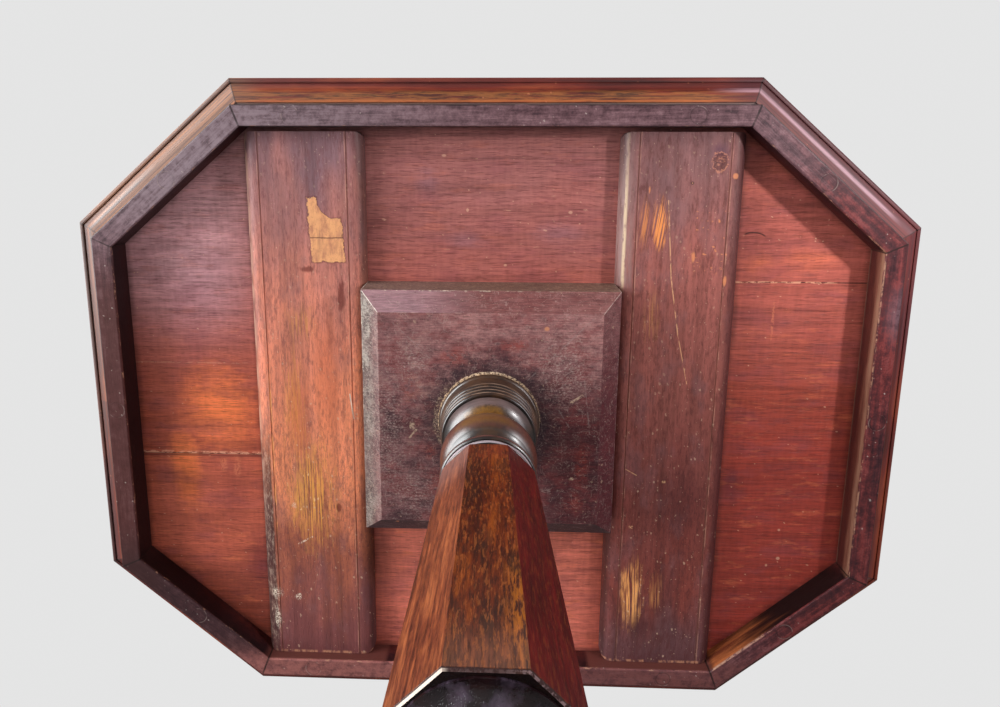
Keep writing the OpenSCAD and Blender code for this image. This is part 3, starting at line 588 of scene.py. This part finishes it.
def batten_wear(g, sign):
    """A batten's scribed lines, rounded edges, pale specks, dark ends, painted light and shade."""
    away = g.mul(g.x, float(sign))
    worn = g.fade(g.noise((3, 12, 4), 3, 0.7, seed=33), 0.44, 0.6)
    for edge in (BATTEN_IN + BATTEN_LINE, BATTEN_OUT - BATTEN_LINE):
        # Tan in each scribed groove, painted light that lifts its shade; a pale worn strip beside
        # it
        line = g.near(away, edge, 0.7, 0.3)
        g.lay((176, 116, 100), line, 0.3)
        beside = g.near(g.sub(away, 0.8), edge, 0.4, 0.15)
        g.lay((206, 154, 130), beside, worn, 0.4)
    # Painted shade on the sides and ends of the batten, towards the boards
    g.lay(SOOT, g.by_z(BATTEN_Z + 0.4, BATTEN_Z + 3.5), 0.6)
    g.lay((84, 50, 54), g.near(g.y, 0, 155, 172), 0.35)
    g.lay((206, 146, 112), g.near(g.y, 170.2, 1.3, 0.4), worn, 0.6)
    pale = g.mul(specks(g, (2.4, 3.2, 3), 0.24), g.by_y(-120, 60, 0.4, 1.0))
    fine = specks(g, (0.9, 1.3, 2), 0.12, seed=5)
    g.lay((214, 180, 152), g.high(pale, fine), 0.5)


def batten_left_wood():
    g = Graph("batten_left_wood")
    tones = ((0.08, (132, 97, 103)), (0.25, (180, 114, 102)), (0.42, (218, 130, 102)),
             (0.6, (230, 138, 98)), (0.74, (168, 94, 70)), (0.88, (122, 68, 66)))
    fibre, pores, cloud = batten_base(g, tones, (112, 62, 62), 0.55)

    # Scraped, golden wood, and darker blots
    gold = g.high(g.blot(-112, 58, 19, 48, 0.8, 0.6),
                  g.mul(g.blot(-120, 0, 10, 50, 0.9, 0.6), 0.7),
                  g.mul(g.blot(-115, -55, 13, 14, 1.0, 0.6), 0.5))
    scraped = scrapes(g, gold)
    g.lay((92, 48, 30), g.sub(gold, scraped), g.by_y(0, 40), 0.4)
    g.lay((232, 164, 74), scraped, 0.75)
    g.lay((246, 206, 150), gold, g.by_y(10, 40), specks(g, (2.8, 6, 4), 0.4, seed=21), 0.7)
    g.lay((206, 104, 66), g.blots((-118, 5, 10, 44, 0.8), (-100, -20, 12, 60, 0.9)), 0.45)
    blots = g.blots((-89.5, -72, 3, 13, 0.6, 0.7), (-110, -88, 5, 2.6, 0.6, 0.9),
                    (-142, 92, 5, 36, 0.7, 0.5), (-95, 66, 2, 4, 0.5))
    g.lay((98, 32, 26), blots, 0.7)
    batten_wear(g, -1)
    # An orange line along the inner lip of the scribed groove: a painted highlight, broken up
    worn = g.mul(g.near(g.x, -135.8, 0.8, 0.3), g.near(g.y, 30, 60, 40))
    g.lay((246, 172, 112), broken(g, worn, (3, 14, 3), 46), 0.9)
    edge = g.mul(g.by_x(-136.9, -138.4), g.by_y(0, 45), g.by_y(180, 150, 0.3, 1.0))
    dust = g.ramp(g.noise((1.5, 5, 3), 5, 0.8, seed=49), (0.42, (46, 28, 30)),
                  (0.52, (84, 62, 58)), (0.62, (150, 132, 118)))
    g.lay(dust, edge, 0.85)
    # Pale on the outer rounded edge towards the front: painted light
    rim = g.mul(g.by_x(-141, -145), g.by_y(90, 40), g.fade(g.noise((4, 14, 4), 3), 0.4, 0.55))
    g.lay((196, 152, 132), rim, 0.6)
    crust = g.blots((-138, 128, 4, 5, 0.6, 0.9), (-138, 146, 2.4, 10, 0.6, 0.9),
                    (-124, 130, 3, 3, 0.6, 0.9), (-124, 65, 1.8, 2.4, 0.6, 0.9))
    crust = g.mul(crust, g.fade(g.noise((0.9, 0.9, 2), 3, 0.7, seed=47), 0.46, 0.54))
    marks = g.high(broken(g, g.scratch((-122, 92), (-113, 87), 0.6)),
                   g.scratch((-86, -10), (-84, 6), 0.3))
    g.lay(CHALK, g.high(crust, marks), 0.85)

    paper, fold, rim_of_paper = paper_scrap(g)
    sheet = g.mix(g.fade(g.noise((4, 9, 4), 4, 0.7, seed=44), 0.4, 0.68), (226, 162, 112),
                  (190, 128, 96))
    stain = g.mul(g.blot(-101, -104, 2.5, 12, 0.9, 0.8), g.fade(fibre, 0.3, 0.6))
    sheet = g.mix(g.mul(stain, 0.5), sheet, (140, 92, 80))
    grit = g.fade(g.noise(0.8, 2, 0.6, seed=48), 0.6, 0.7)
    sheet = g.mix(g.mul(grit, 0.4), sheet, (150, 96, 62))
    sheet = g.mix(g.mul(fold, 0.75), sheet, (96, 60, 50))
    g.lay((96, 44, 38), rim_of_paper, 0.75)
    g.lay(sheet, paper)
    height = g.add(g.sub(g.mul(fibre, 0.4), pores), g.mul(paper, 2.5))
    rough = g.add(g.add(0.3, g.mul(cloud, 0.25)), g.mul(paper, 0.3))
    return g.finish(rough, g.bump(height, 0.09))


def paper_scrap(g):
    """A blank, torn scrap of old paper on the left batten, with a fold across it."""
    rag = g.sway(g.noise(3.2, 4, 0.75, seed=51), 5.0)
    x = g.add(g.x, rag)
    y = g.add(g.y, rag)
    left = g.add(-108.4, g.mul(g.add(y, 131), 0.055))
    right = g.add(-88.4, g.mul(g.add(y, 119), 0.08))
    down = g.math("DIVIDE", g.add(y, 131), 13.0, clamp=True)
    spike = g.add(-102.4, g.mul(g.mul(down, down), down, 9.0))
    inside = g.low(g.sub(x, left), g.sub(-92.4, y))
    lower = g.low(g.low(inside, g.sub(right, x)), g.add(y, 118.6))
    upper = g.low(g.low(inside, g.sub(spike, x)), g.add(y, 130.6))
    depth = g.high(lower, upper)
    paper = g.fade(depth, -0.15, 0.15)
    edge = g.mul(g.near(depth, 0.0, 1.1, 0.2), g.fade(rag, -0.8, 0.8, 0.3, 1.0))
    fold = g.near(g.add(g.y, g.mul(rag, 0.2)), -107, 0.5, 0.15)
    return paper, fold, edge


def batten_right_wood():
    g = Graph("batten_right_wood")
    tones = ((0.08, (130, 89, 88)), (0.28, (150, 87, 79)), (0.45, (138, 78, 70)),
             (0.62, (126, 66, 60)), (0.78, (122, 58, 50)), (0.92, (98, 62, 64)))
    fibre, pores, cloud = batten_base(g, tones, (84, 40, 38), 0.6)
    scraped = g.high(g.blot(98, -116, 6, 18, 0.6, 0.5),
                     g.mul(g.blot(89, -116, 4, 20, 0.8, 0.5), 0.6))
    g.lay((236, 146, 80), scrapes(g, scraped, 0.12), 0.9)
    scraped = g.high(g.blot(92, 122, 9, 30, 0.7, 0.6),
                     g.mul(g.blot(108, 120, 5, 17, 0.8, 0.6), 0.4),
                     g.mul(g.blot(96, -60, 6, 22, 0.9, 0.6), 0.3))
    g.lay((240, 166, 98), scrapes(g, scraped, -0.03, 63), 0.95)
    g.lay((60, 28, 34), g.blots((99, 145, 13, 12, 0.9), (120, 60, 20, 40, 1.0)), 0.4)
    batten_wear(g, 1)
    # Painted shade on the outer rounded edge
    g.lay((62, 26, 30), g.by_x(137.5, 142), 0.6)
    knot = g.add(g.reach(130, -152, 1, 1.25), g.sway(g.noise(2.4, 3, 0.7, seed=53), 4.5))
    g.lay((92, 60, 76), g.blot(129, -158, 8, 7, 0.9), 0.6)
    g.lay((76, 34, 34), g.fade(knot, 5.2, 3.4), 0.55)
    ring = g.mul(g.near(knot, 4.4, 0.7, 0.2), g.fade(g.noise(1.1, 3, 0.7, seed=54), 0.44, 0.54))
    core = g.mul(g.fade(knot, 3.4, 1.2),
                 g.fade(g.noise((2.4, 1.0, 2), 4, 0.7, seed=58), 0.46, 0.6))
    g.lay((206, 136, 108), g.high(ring, core), 0.6)
    area = g.mul(g.near(g.x, 127, 13, 9), g.near(g.y, -108, 26, 10))
    dotted = g.mul(area, g.high(specks(g, (3, 3.4, 3), 0.5, seed=12),
                                specks(g, (5, 2.4, 3), 0.3, seed=15)))
    spots = g.high(dotted, g.blot(139, -144, 2, 2), g.blot(118, -97, 1.2, 4, 0.6, 0.7),
                   g.blot(137, -83, 1.4, 3.4, 0.6, 0.8), g.blot(91, -136, 0.8, 3, 0.6, 0.7))
    g.lay((216, 136, 92), spots, 0.75)
    g.lay(SOOT, g.blot(115, -140, 1.2, 1.2, 0.5, 0.0), 0.8)
    g.lay((200, 140, 110), g.blot(115, -140, 0.5, 0.5, 0.5, 0.0), 0.8)
    scratch = g.high(g.scratch((102, -130), (106, -85), 0.1),
                     g.scratch((106, -85), (112, -50), 0.2),
                     g.scratch((112, -50), (119, -20), 0.1), g.scratch((85, 36), (92, 40), 0.1))
    scratch = broken(g, scratch, (2.5, 9, 3), 41)
    crust = g.blots((90, 75, 1.6, 1.6, 0.4, 0.8), (109, 44, 1.3, 1.3, 0.4, 0.6))
    crust = broken(g, crust, 0.9, 57)
    g.lay((230, 176, 130), g.high(scratch, crust), 0.7)
    # Pale inner edge in front of the block: dust and painted sheen, palest along its foot
    ahead = g.mul(g.by_y(-74, -84), g.by_y(-160, -120, 0.3, 1.0))
    g.lay((148, 118, 114), g.by_x(85, 80),
          g.fade(g.noise((2, 22, 3), 3, 0.65), 0.34, 0.6, 0.35, 1.0), ahead, 0.75)
    g.lay((212, 184, 150), g.near(g.x, 78.0, 1.3, 0.3),
          g.fade(g.noise((2, 9, 3), 3, 0.7), 0.3, 0.5), ahead, 0.8)
    height = g.sub(g.mul(fibre, 0.4), pores)
    return g.finish(g.add(0.3, g.mul(cloud, 0.25)), g.bump(height, 0.09))


def block_face(g, mottle, cloud):
    """Colours of the block's face, from its front to its back and towards the column."""
    tone = g.add(g.mul(mottle, 0.6), g.mul(cloud, 0.4))
    g.colour = g.ramp(tone, (0.36, (76, 44, 48)), (0.46, (104, 66, 68)), (0.54, (124, 84, 84)),
                      (0.64, (146, 106, 100)))
    # Dark red at the right of the column: its colour and a painted shadow of the column
    g.lay((66, 22, 28), g.by_x(5, 48), g.by_y(-42, 2), 0.9)
    # Paler at the front, most at the left: a painted sheen over the mottle
    g.lay((174, 122, 118), g.by_y(-20, -62), g.fade(mottle, 0.3, 0.66, 0.35, 1.0),
          g.by_x(-50, -10, 0.4, 1.0), 0.7)
    g.lay((118, 50, 50), g.fade(g.noise((15, 9, 9), 4, 0.65, seed=10), 0.46, 0.62), 0.45)
    g.lay((66, 42, 48), g.fade(cloud, 0.48, 0.34, 0.0, 0.55), g.by_y(-66, -36))
    reach = g.reach(0, COLUMN_Y)
    # A dark halo round the column: painted shade
    halo = g.fade(g.add(reach, g.sway(mottle, 26)), 47, 29)
    g.lay((30, 20, 30), halo, 0.76)
    red = g.blots((54, 22, 6, 20, 0.8), (-20, -43, 14, 9, 0.9), (-34, 15, 5, 6, 0.8),
                  (-46, -24, 9, 12, 0.9), (14, -50, 16, 6, 0.9), (50, 44, 9, 9, 0.9),
                  (-30, 34, 9, 12, 0.9))
    g.lay((130, 50, 42), red, g.fade(mottle, 0.4, 0.56), 0.6)
    return reach


def block_sides(g, powder, cloud):
    """The chamfers, sides and worn edges of the block."""
    facing = g.facing()
    covered = g.add(g.mul(powder, 0.6), g.mul(g.noise((7, 11, 7), 4, 0.7, seed=27), 0.6))
    dusty = g.mix(g.fade(covered, 0.5, 0.72), (58, 46, 42), (142, 134, 124))
    dusty = g.mix(g.add(g.fade(cloud, 0.42, 0.6, 0.0, 0.4), g.by_y(-20, 20, 0.0, 0.3)), dusty,
                  (84, 60, 58))
    slope_x = g.sub(g.away(g.x, 0), BLOCK_FACE)
    slope_y = g.sub(g.away(g.y, COLUMN_Y), BLOCK_FACE)
    g.lay(dusty, g.fade(facing[0], -0.2, -0.5), g.fade(slope_x, -2, 8, 0.3, 0.9))
    # Front chamfer: lilac at the left, a painted sheen, darker towards the right
    lilac = g.mix(g.by_x(-50, 0), (146, 112, 118), (98, 56, 54))
    g.lay(lilac, g.fade(facing[1], -0.2, -0.5), 0.75)
    g.lay(g.mix(g.fade(powder, 0.4, 0.62), (70, 50, 40), (126, 106, 88)),
          g.fade(facing[1], -0.8, -0.95), 0.8)
    g.lay((72, 28, 34), g.fade(facing[0], 0.2, 0.5), 0.7)
    g.lay((62, 54, 58), g.fade(facing[1], 0.2, 0.5), 0.7)
    ragged = g.noise((4, 4, 3), 4, 0.7, seed=23)
    at_left = g.by_x(20, -30, 0.2, 1.0)
    g.lay((176, 150, 140), g.near(g.high(slope_x, slope_y), 0, 0.6, 0.2),
          g.fade(ragged, 0.5, 0.62), at_left, 0.3)
    rim = g.mul(g.near(g.z, BLOCK_Z + CHAMFER_Z, 0.7, 0.2), g.fade(ragged, 0.5, 0.6),
                g.fade(g.add(g.x, g.y), -20, -110, 0.12, 1.0))
    g.lay((206, 190, 172), rim, 0.7)
    mitre = g.mul(g.near(slope_x, slope_y, 0.5, 0.15), g.fade(slope_x, -0.5, 0.5),
                  g.by_y(-40, -60), g.fade(ragged, 0.36, 0.5), g.by_x(40, -40, 0.35, 1.0))
    g.lay((226, 214, 202), mitre, 0.75)


def block_wood():
    g = Graph("block_wood")
    line, fibre, _, pores = wood(g, "x", wander=4, seed=5)
    g.ragged = g.noise(4, 3, 0.6, seed=2)
    mottle = g.noise((7, 4.5, 6), 5, 0.74, seed=6)
    cloud = g.noise(24, 3, 0.6, seed=9)
    powder = g.noise((1.5, 1.1, 1.2), 3, 0.8, seed=14)
    hair = g.noise((8, 0.7, 3), 3, 0.7, seed=18, place=line)
    reach = block_face(g, mottle, cloud)
    dusty = g.blots((42, -36, 22, 30, 0.9), (-58, 5, 14, 64, 1.0), (-44, -40, 16, 20, 1.0),
                    (-44, 40, 22, 24, 1.0))
    g.lay((168, 148, 140), g.add(g.mul(dusty, 0.6), 0.07), g.fade(powder, 0.5, 0.62))
    g.lay(SOOT, g.fade(powder, 0.44, 0.34), 0.35)
    block_sides(g, powder, cloud)
    g.shade(g.add(g.sway(fibre, 0.6), g.sway(hair, 1.5)))
    g.lay(SOOT, pores, 0.3)

    # Fine crossing scratches, and the chipped finish round the flange of the column
    for size, seed in (((16, 6, 6), 71), ((6, 15, 6), 74)):
        lines = g.near(g.noise(size, 2, 0.6, 1.2, seed), 0.5, 0.010, 0.003)
        g.lay((176, 150, 142), broken(g, lines, 5, seed + 1), 0.3)
    crumbs = g.noise(1.0, 4, 0.75, seed=29)
    turn = g.sway(g.ragged, 2.4)
    chips = g.fade(g.add(reach, g.mul(turn, 0.7)), 29.8, 29.2)
    far = g.mul(g.near(g.add(reach, turn), 31, 1.6, 0.8), g.fade(crumbs, 0.5, 0.56),
                g.by_x(-20, -28), 0.35)
    chips = g.mul(g.high(chips, far), g.fade(crumbs, 0.44, 0.54),
                  g.fade(g.add(g.x, g.y), 20, -24, 0.4, 1.0))
    g.lay((226, 200, 168), chips, 0.85)

    # Scuffs, scratches and specks
    scuffs = g.high(g.scratch((47, -17), (53, -21), 1.0), g.blot(-44.5, -1.5, 1.8, 3.4, 0.6, 0.9),
                    g.scratch((-46, 6), (-42, 1), 0.6), g.blot(48, 30, 1.8, 1.2, 0.5, 0.9))
    g.lay((206, 178, 150), broken(g, scuffs, 1.2), 0.6)
    lines = g.high(g.scratch((-55, -63), (-34, -42), 0.2), g.scratch((40, -12), (46, -2), 0.2),
                   g.scratch((22, -30), (58, -66), 0.2), g.scratch((54, -30), (58, 2), 0.2))
    g.lay(DUST, broken(g, lines, 4), 0.3)
    g.lay((206, 138, 100), g.blots((32, -60, 1.7, 1.5, 0.5, 0.4), (-54, 60, 1.2, 1.0, 0.5, 0.4)),
          0.7)
    g.lay((190, 160, 136), g.high(specks(g, 1.4, 0.12), specks(g, 3.2, 0.04, seed=4)), 0.4)
    g.lay(SOOT, specks(g, 1.6, 0.16, seed=9), 0.4)
    height = g.add(g.mul(mottle, 1.2), g.add(g.mul(hair, 0.4), g.mul(powder, 0.5)))
    return g.finish(g.add(0.3, g.mul(mottle, 0.34)), g.bump(height, 0.14))


def collar_wood():
    g = Graph("collar_wood")
    fibre = g.noise((1.4, 1.4, 9), 3, 0.65)
    patch = g.noise((12, 12, 10), 3, 0.5, seed=4)
    turning = g.noise((9, 9, 0.5), 2, 0.6, seed=6)
    grit = g.noise(1.3, 3, 0.7, seed=14)
    g.colour = g.ramp(g.add(g.mul(patch, 0.7), g.mul(fibre, 0.3)), (0.38, (18, 9, 7)),
                      (0.5, (34, 18, 11)), (0.62, (60, 36, 18)))
    wander = g.sway(patch, 16)
    middle = g.near(g.add(g.x, wander), -2, 17, 7)
    ahead = g.mul(middle, g.by_y(COLUMN_Y - 8, COLUMN_Y - 14))

    # The reel: painted reflections, lilac grey below its upper edge, gold worn through the finish
    reach = g.reach(0, COLUMN_Y)
    reel = g.mul(g.by_z(NECK_Z - 20, NECK_Z - 18), g.by_z(NECK_Z - 0.6, NECK_Z - 1.6))
    upper = g.mul(reel, g.fade(g.add(reach, g.sway(grit, 4)), 19.6, 21.6),
                  g.by_y(COLUMN_Y - 4, COLUMN_Y - 16), g.fade(turning, 0.3, 0.6, 0.5, 1.0))
    g.lay((116, 90, 88), upper, 0.65)
    gold = g.mul(reel, ahead, g.fade(reach, 21.4, 19.4), g.fade(grit, 0.3, 0.66, 0.3, 1.0))
    g.lay(g.ramp(ahead, (0.3, (44, 28, 10)), (0.9, (120, 80, 16))), gold, 0.85)

    # The torus: red brown above, golden brown in front as a painted reflection, darker below
    torus = g.near(g.z, SHAFT_Z + 29, 9.5, 7)
    g.lay((88, 44, 32), torus, g.fade(fibre, 0.2, 0.7, 0.4, 1.0),
          g.by_y(COLUMN_Y + 6, COLUMN_Y - 10, 0.4, 1.0), 0.7)
    g.lay((110, 78, 32), ahead, g.near(g.z, SHAFT_Z + 28, 6.5, 3),
          g.fade(grit, 0.3, 0.6, 0.45, 1.0), 0.65)

    # Rubbed crests of the fine rings, and the chipped rim against the block
    pitch = g.math("FRACT", g.math("DIVIDE", g.sub(RING_Z, g.z), RING_PITCH))
    rings = g.mul(g.near(pitch, 0.5, 0.26, 0.06), g.by_z(RING_Z + 0.5, RING_Z),
                  g.by_z(NECK_Z - 0.2, NECK_Z + 0.2))
    worn = g.fade(g.noise((6, 6, 1.5), 3, 0.7, seed=12), 0.34, 0.58)
    g.lay((164, 138, 116), rings, worn, 0.7)
    g.lay((78, 56, 40), g.by_z(RING_Z, RING_Z + 1), g.fade(grit, 0.3, 0.7, 0.1, 0.6))
    rim = g.fade(g.add(g.z, g.sway(grit, 5)), BLOCK_Z - 2.6, BLOCK_Z - 1.8)
    g.lay((206, 172, 128), rim, g.fade(grit, 0.36, 0.5, 0.3, 0.9))

    # The bead, and a painted highlight round the thin ring at the shaft
    g.lay((112, 66, 60), g.near(g.z, SHAFT_Z + 5.8, 1.2, 0.3), g.fade(worn, 0.1, 0.7), 0.6)
    thin_ring_highlight = g.mul(g.by_z(SHAFT_Z + 0.5, SHAFT_Z + 0.9), g.by_z(SHAFT_Z + 3.6, SHAFT_Z + 2.8))
    g.lay((176, 164, 170), thin_ring_highlight, g.fade(turning, 0.3, 0.6, 0.6, 1.0), 0.85)
    height = g.add(g.mul(turning, 0.5), g.mul(grit, 0.3))
    return g.finish(g.add(0.26, g.mul(patch, 0.14)), g.bump(height, 0.02), coat=0.7,
                    coat_rough=0.3, shine=0.5)


def shaft_wood():
    g = Graph("shaft_wood")
    line, fibre, streak, pores = wood(g, "z", wander=4, seed=7)
    dashes = g.noise((1.0, 1.0, 8), 4, 0.72, seed=9, place=line)
    glints = g.fade(g.noise((0.9, 0.9, 6), 3, 0.7, seed=19, place=line), 0.52, 0.62)
    patch = g.noise((9, 9, 30), 3, 0.6, seed=12)
    mixed = g.add(g.mul(streak, 0.35), g.add(g.mul(patch, 0.35), g.mul(dashes, 0.3)))
    # Colours by facing, lighter on the left and deep red on the right: painted light and shade
    facing = g.facing()
    to_right = g.fade(facing[0], 0.3, 0.6)
    to_left = g.fade(facing[0], -0.3, -0.6)
    front = g.ramp(mixed, (0.4, (34, 10, 3)), (0.48, (60, 20, 5)), (0.54, (90, 34, 7)),
                   (0.64, (122, 58, 12)))
    sides = g.add(g.mul(fibre, 0.4), g.add(g.mul(patch, 0.3), g.mul(dashes, 0.3)))
    left = g.ramp(sides, (0.41, (62, 26, 17)), (0.5, (96, 45, 27)), (0.6, (128, 70, 40)))
    right = g.ramp(mixed, (0.4, (54, 7, 9)), (0.5, (74, 9, 11)), (0.6, (96, 20, 16)))
    g.colour = g.mix(to_left, g.mix(to_right, front, right), left)

    # Pinkish near the collar, golden low at the right of the front, paler at the lower end
    plain = g.sub(1.0, g.high(to_left, to_right))
    # Painted reflections near the collar: pinkish on the left facets, red on the front
    g.lay((118, 84, 78), g.by_z(SHAFT_Z - 40, SHAFT_Z - 4), to_left, 0.7)
    glow = g.mul(g.by_z(SHAFT_Z - 26, SHAFT_Z - 4), plain, g.fade(patch, 0.36, 0.6, 0.2, 0.8))
    g.lay((112, 46, 26), glow)
    g.lay((160, 92, 12), plain, g.by_x(3, 10), g.by_z(RIM_Z + 66, RIM_Z + 35),
          g.fade(dashes, 0.44, 0.56), 0.6)
    g.lay((112, 66, 46), g.by_z(RIM_Z + 24, RIM_Z + 3), plain, 0.6)

    # Short dark dashes and pale glints along the grain
    g.lay((44, 18, 9), g.fade(dashes, 0.5, 0.4),
          g.sub(0.5, g.mul(g.high(to_left, to_right), 0.35)))
    g.lay((48, 30, 18), g.fade(g.noise((6, 6, 22), 3, 0.6, seed=23), 0.5, 0.66), plain, 0.5)
    g.lay((160, 88, 40), glints, g.sub(0.36, g.mul(g.high(to_right, to_left), 0.22)))
    g.shade(g.sway(fibre, 1.2))
    g.lay(SOOT, pores, 0.35)

    # The chipped bevel with painted highlights, and the dark end around the mouth
    end = g.fade(facing[2], -0.8, -0.95)
    g.lay((14, 8, 11), end, 0.95)
    ragged = g.noise(1.8, 3, 0.7, seed=16)
    bevel = g.mul(g.fade(g.add(g.z, g.sway(ragged, 0.6)), RIM_Z + 0.9, RIM_Z + 0.7),
                  g.sub(1.0, end))
    g.lay((52, 34, 34), bevel, 0.9)
    at_left = g.by_x(-9, -12)
    bevel_highlight = g.by_z(RIM_Z + 0.62, RIM_Z + 0.54)
    g.lay((226, 206, 190), bevel, bevel_highlight, at_left)
    g.lay((150, 122, 122), bevel, bevel_highlight, g.by_x(4, 14, 0.2, 1.0), g.fade(ragged, 0.46, 0.56), 0.8)
    height = g.sub(g.mul(dashes, 0.5), pores)
    return g.finish(g.add(0.28, g.mul(patch, 0.16)), g.bump(height, 0.05), coat=0.05,
                    coat_rough=0.14, shine=0.2)


def turned_wood():
    """Dark, polished wood of the turned pedestal and the legs."""
    g = Graph("turned_wood")
    _, fibre, streak, pores = wood(g, "z", wander=6, seed=1)
    patch = g.noise((30, 30, 70), 3, seed=12)
    g.colour = g.ramp(g.add(g.mul(streak, 0.55), g.mul(patch, 0.45)), (0.36, (44, 18, 12)),
                      (0.5, (86, 38, 22)), (0.62, (126, 62, 34)), (0.72, (152, 86, 48)))
    # Near black at the top, under the shaft, with lilac patches as painted reflections
    mouth = g.by_z(RIM_Z - 42, RIM_Z - 20)
    bloom_and_sheen = g.ramp(g.noise((8, 8, 14), 3, 0.55, seed=17), (0.5, (12, 6, 12)), (0.66, (74, 62, 76)))
    g.lay(bloom_and_sheen, mouth, 0.95)
    g.shade(g.sway(fibre, 0.8))
    g.lay(SOOT, pores, 0.5)
    return g.finish(g.add(0.14, g.mul(patch, 0.16)), g.bump(g.sub(g.mul(fibre, 0.4), pores), 0.05),
                    coat=0.5, coat_rough=0.08)


def iron():
    g = Graph("screw_iron")
    patch = g.noise(1.5, 3)
    g.colour = g.ramp(patch, (0.4, (52, 44, 40)), (0.6, (104, 84, 70)))
    g.shader.inputs["Metallic"].default_value = 0.8
    return g.finish(g.add(0.35, g.mul(patch, 0.3)))


def dress_all():
    rail = rail_wood()
    collar = collar_wood()
    turned = turned_wood()
    looks = {
        "board": board_wood(), "moulding": moulding_wood(), "rail": rail, "pellets": rail,
        "screws": iron(), "batten_left": batten_left_wood(), "batten_right": batten_right_wood(),
        "block": block_wood(), "base_collar": collar, "neck_collar": collar,
        "tenon_wedge": turned, "shaft": shaft_wood(), "pedestal": turned, "leg": turned,
    }
    for name in nodes:
        key = max((k for k in looks if name.startswith(k)), key=len)
        dress(name, looks[key])


dress_all()


# Camera, as fitted to the corners of the top: focal length and picture centre are shares of the
# picture's width, and the angles turn it from looking straight up
PICTURE = (1000, 707)
SENSOR = 36
FOCAL = 0.7185
CENTRE = (462.7, 288.8)
TILT = 0.194
YAW = 0.039
ROLL = 0.010
EYE = Vector((0.000285, COLUMN_Y / 1000 - 0.15452, RAIL_Z / 1000 - 0.41218))


# Floor and backdrop, as the camera sees them and as they light the table
FLOOR_HALF = 6.0
FLOOR_SEEN, FLOOR_LIT, FLOOR_GLOW = 0.82, 0.42, 0.28
BACKDROP_SEEN, BACKDROP_LIT = 0.78, 0.3


def photo_camera():
    data = bpy.data.cameras.new("camera")
    data.sensor_width = SENSOR
    data.lens = SENSOR * FOCAL
    data.shift_x = (PICTURE[0] / 2 - CENTRE[0]) / PICTURE[0]
    data.shift_y = (CENTRE[1] - PICTURE[1] / 2) / PICTURE[0]
    data.clip_start = 0.01
    camera = bpy.data.objects.new("camera", data)
    turn = Matrix.Rotation(ROLL, 3, "Z") @ Matrix.Rotation(YAW, 3, "Y")
    right, down, ahead = (turn @ Matrix.Rotation(TILT, 3, "X")).row
    axes = Matrix((right, -down, -ahead)).transposed()
    camera.matrix_world = Matrix.Translation(EYE) @ axes.to_4x4()
    bpy.context.scene.collection.objects.link(camera)
    bpy.context.scene.camera = camera


def lamp(name, place, target, size, power, colour=(1, 1, 1)):
    data = bpy.data.lights.new(name, "AREA")
    data.shape = "RECTANGLE"
    data.size, data.size_y = size
    data.energy = power
    data.color = colour
    light = bpy.data.objects.new(name, data)
    light.location = place
    light.rotation_euler = (Vector(target) - Vector(place)).to_track_quat("-Z", "Y").to_euler()
    light.visible_camera = False
    bpy.context.scene.collection.objects.link(light)


def floor_material():
    """Pale to the camera, and less so in the light that it throws back."""
    material = bpy.data.materials.new("floor")
    material.use_nodes = True
    tree = material.node_tree
    shader = tree.nodes["Principled BSDF"]
    shader.inputs["Roughness"].default_value = 0.85
    path = tree.nodes.new("ShaderNodeLightPath").outputs["Is Camera Ray"]
    pale = tree.nodes.new("ShaderNodeMix")
    pale.data_type = "RGBA"
    pale.inputs[6].default_value = (*[FLOOR_LIT] * 3, 1)
    pale.inputs[7].default_value = (*[FLOOR_SEEN] * 3, 1)
    tree.links.new(path, pale.inputs[0])
    tree.links.new(pale.outputs[2], shader.inputs["Base Color"])
    shader.inputs["Emission Color"].default_value = (1, 1, 1, 1)
    glow = tree.nodes.new("ShaderNodeMath")
    glow.operation = "MULTIPLY"
    glow.inputs[1].default_value = FLOOR_GLOW
    tree.links.new(path, glow.inputs[0])
    tree.links.new(glow.outputs[0], shader.inputs["Emission Strength"])
    return material


def studio():
    """Pale floor and backdrop, soft lamps at both sides and above, and a small one at the right."""
    scene = bpy.context.scene
    scene.view_settings.view_transform = "Standard"
    mesh = bpy.data.meshes.new("floor")
    half = FLOOR_HALF
    mesh.from_pydata([(-half, -half, 0), (half, -half, 0), (half, half, 0), (-half, half, 0)], [],
                     [(0, 1, 2, 3)])
    floor = bpy.data.objects.new("floor", mesh)
    scene.collection.objects.link(floor)
    mesh.materials.append(floor_material())

    world = bpy.data.worlds.new("world")
    scene.world = world
    world.use_nodes = True
    tree = world.node_tree
    back = tree.nodes["Background"]
    back.inputs[0].default_value = (1, 1, 1, 1)
    path = tree.nodes.new("ShaderNodeLightPath")
    seen = tree.nodes.new("ShaderNodeMapRange")
    seen.inputs["To Min"].default_value = BACKDROP_LIT
    seen.inputs["To Max"].default_value = BACKDROP_SEEN
    tree.links.new(path.outputs["Is Camera Ray"], seen.inputs["Value"])
    tree.links.new(seen.outputs[0], back.inputs[1])

    middle = (0, 0, 0.64)
    lamp("left_box", (-1.2, -0.42, 0.42), middle, (1.3, 0.9), 42, (0.96, 0.99, 1.0))
    lamp("right_box", (1.2, -0.55, 0.45), middle, (1.0, 0.6), 5.5, (1.0, 0.93, 0.99))
    lamp("over_box", (0.3, -0.6, 2.2), middle, (1.6, 1.6), 12)
    lamp("near_lamp", (0.346, -0.234, 0.507), (0.15, 0, 0.7), (0.02, 0.02), 0.9)


photo_camera()
studio()
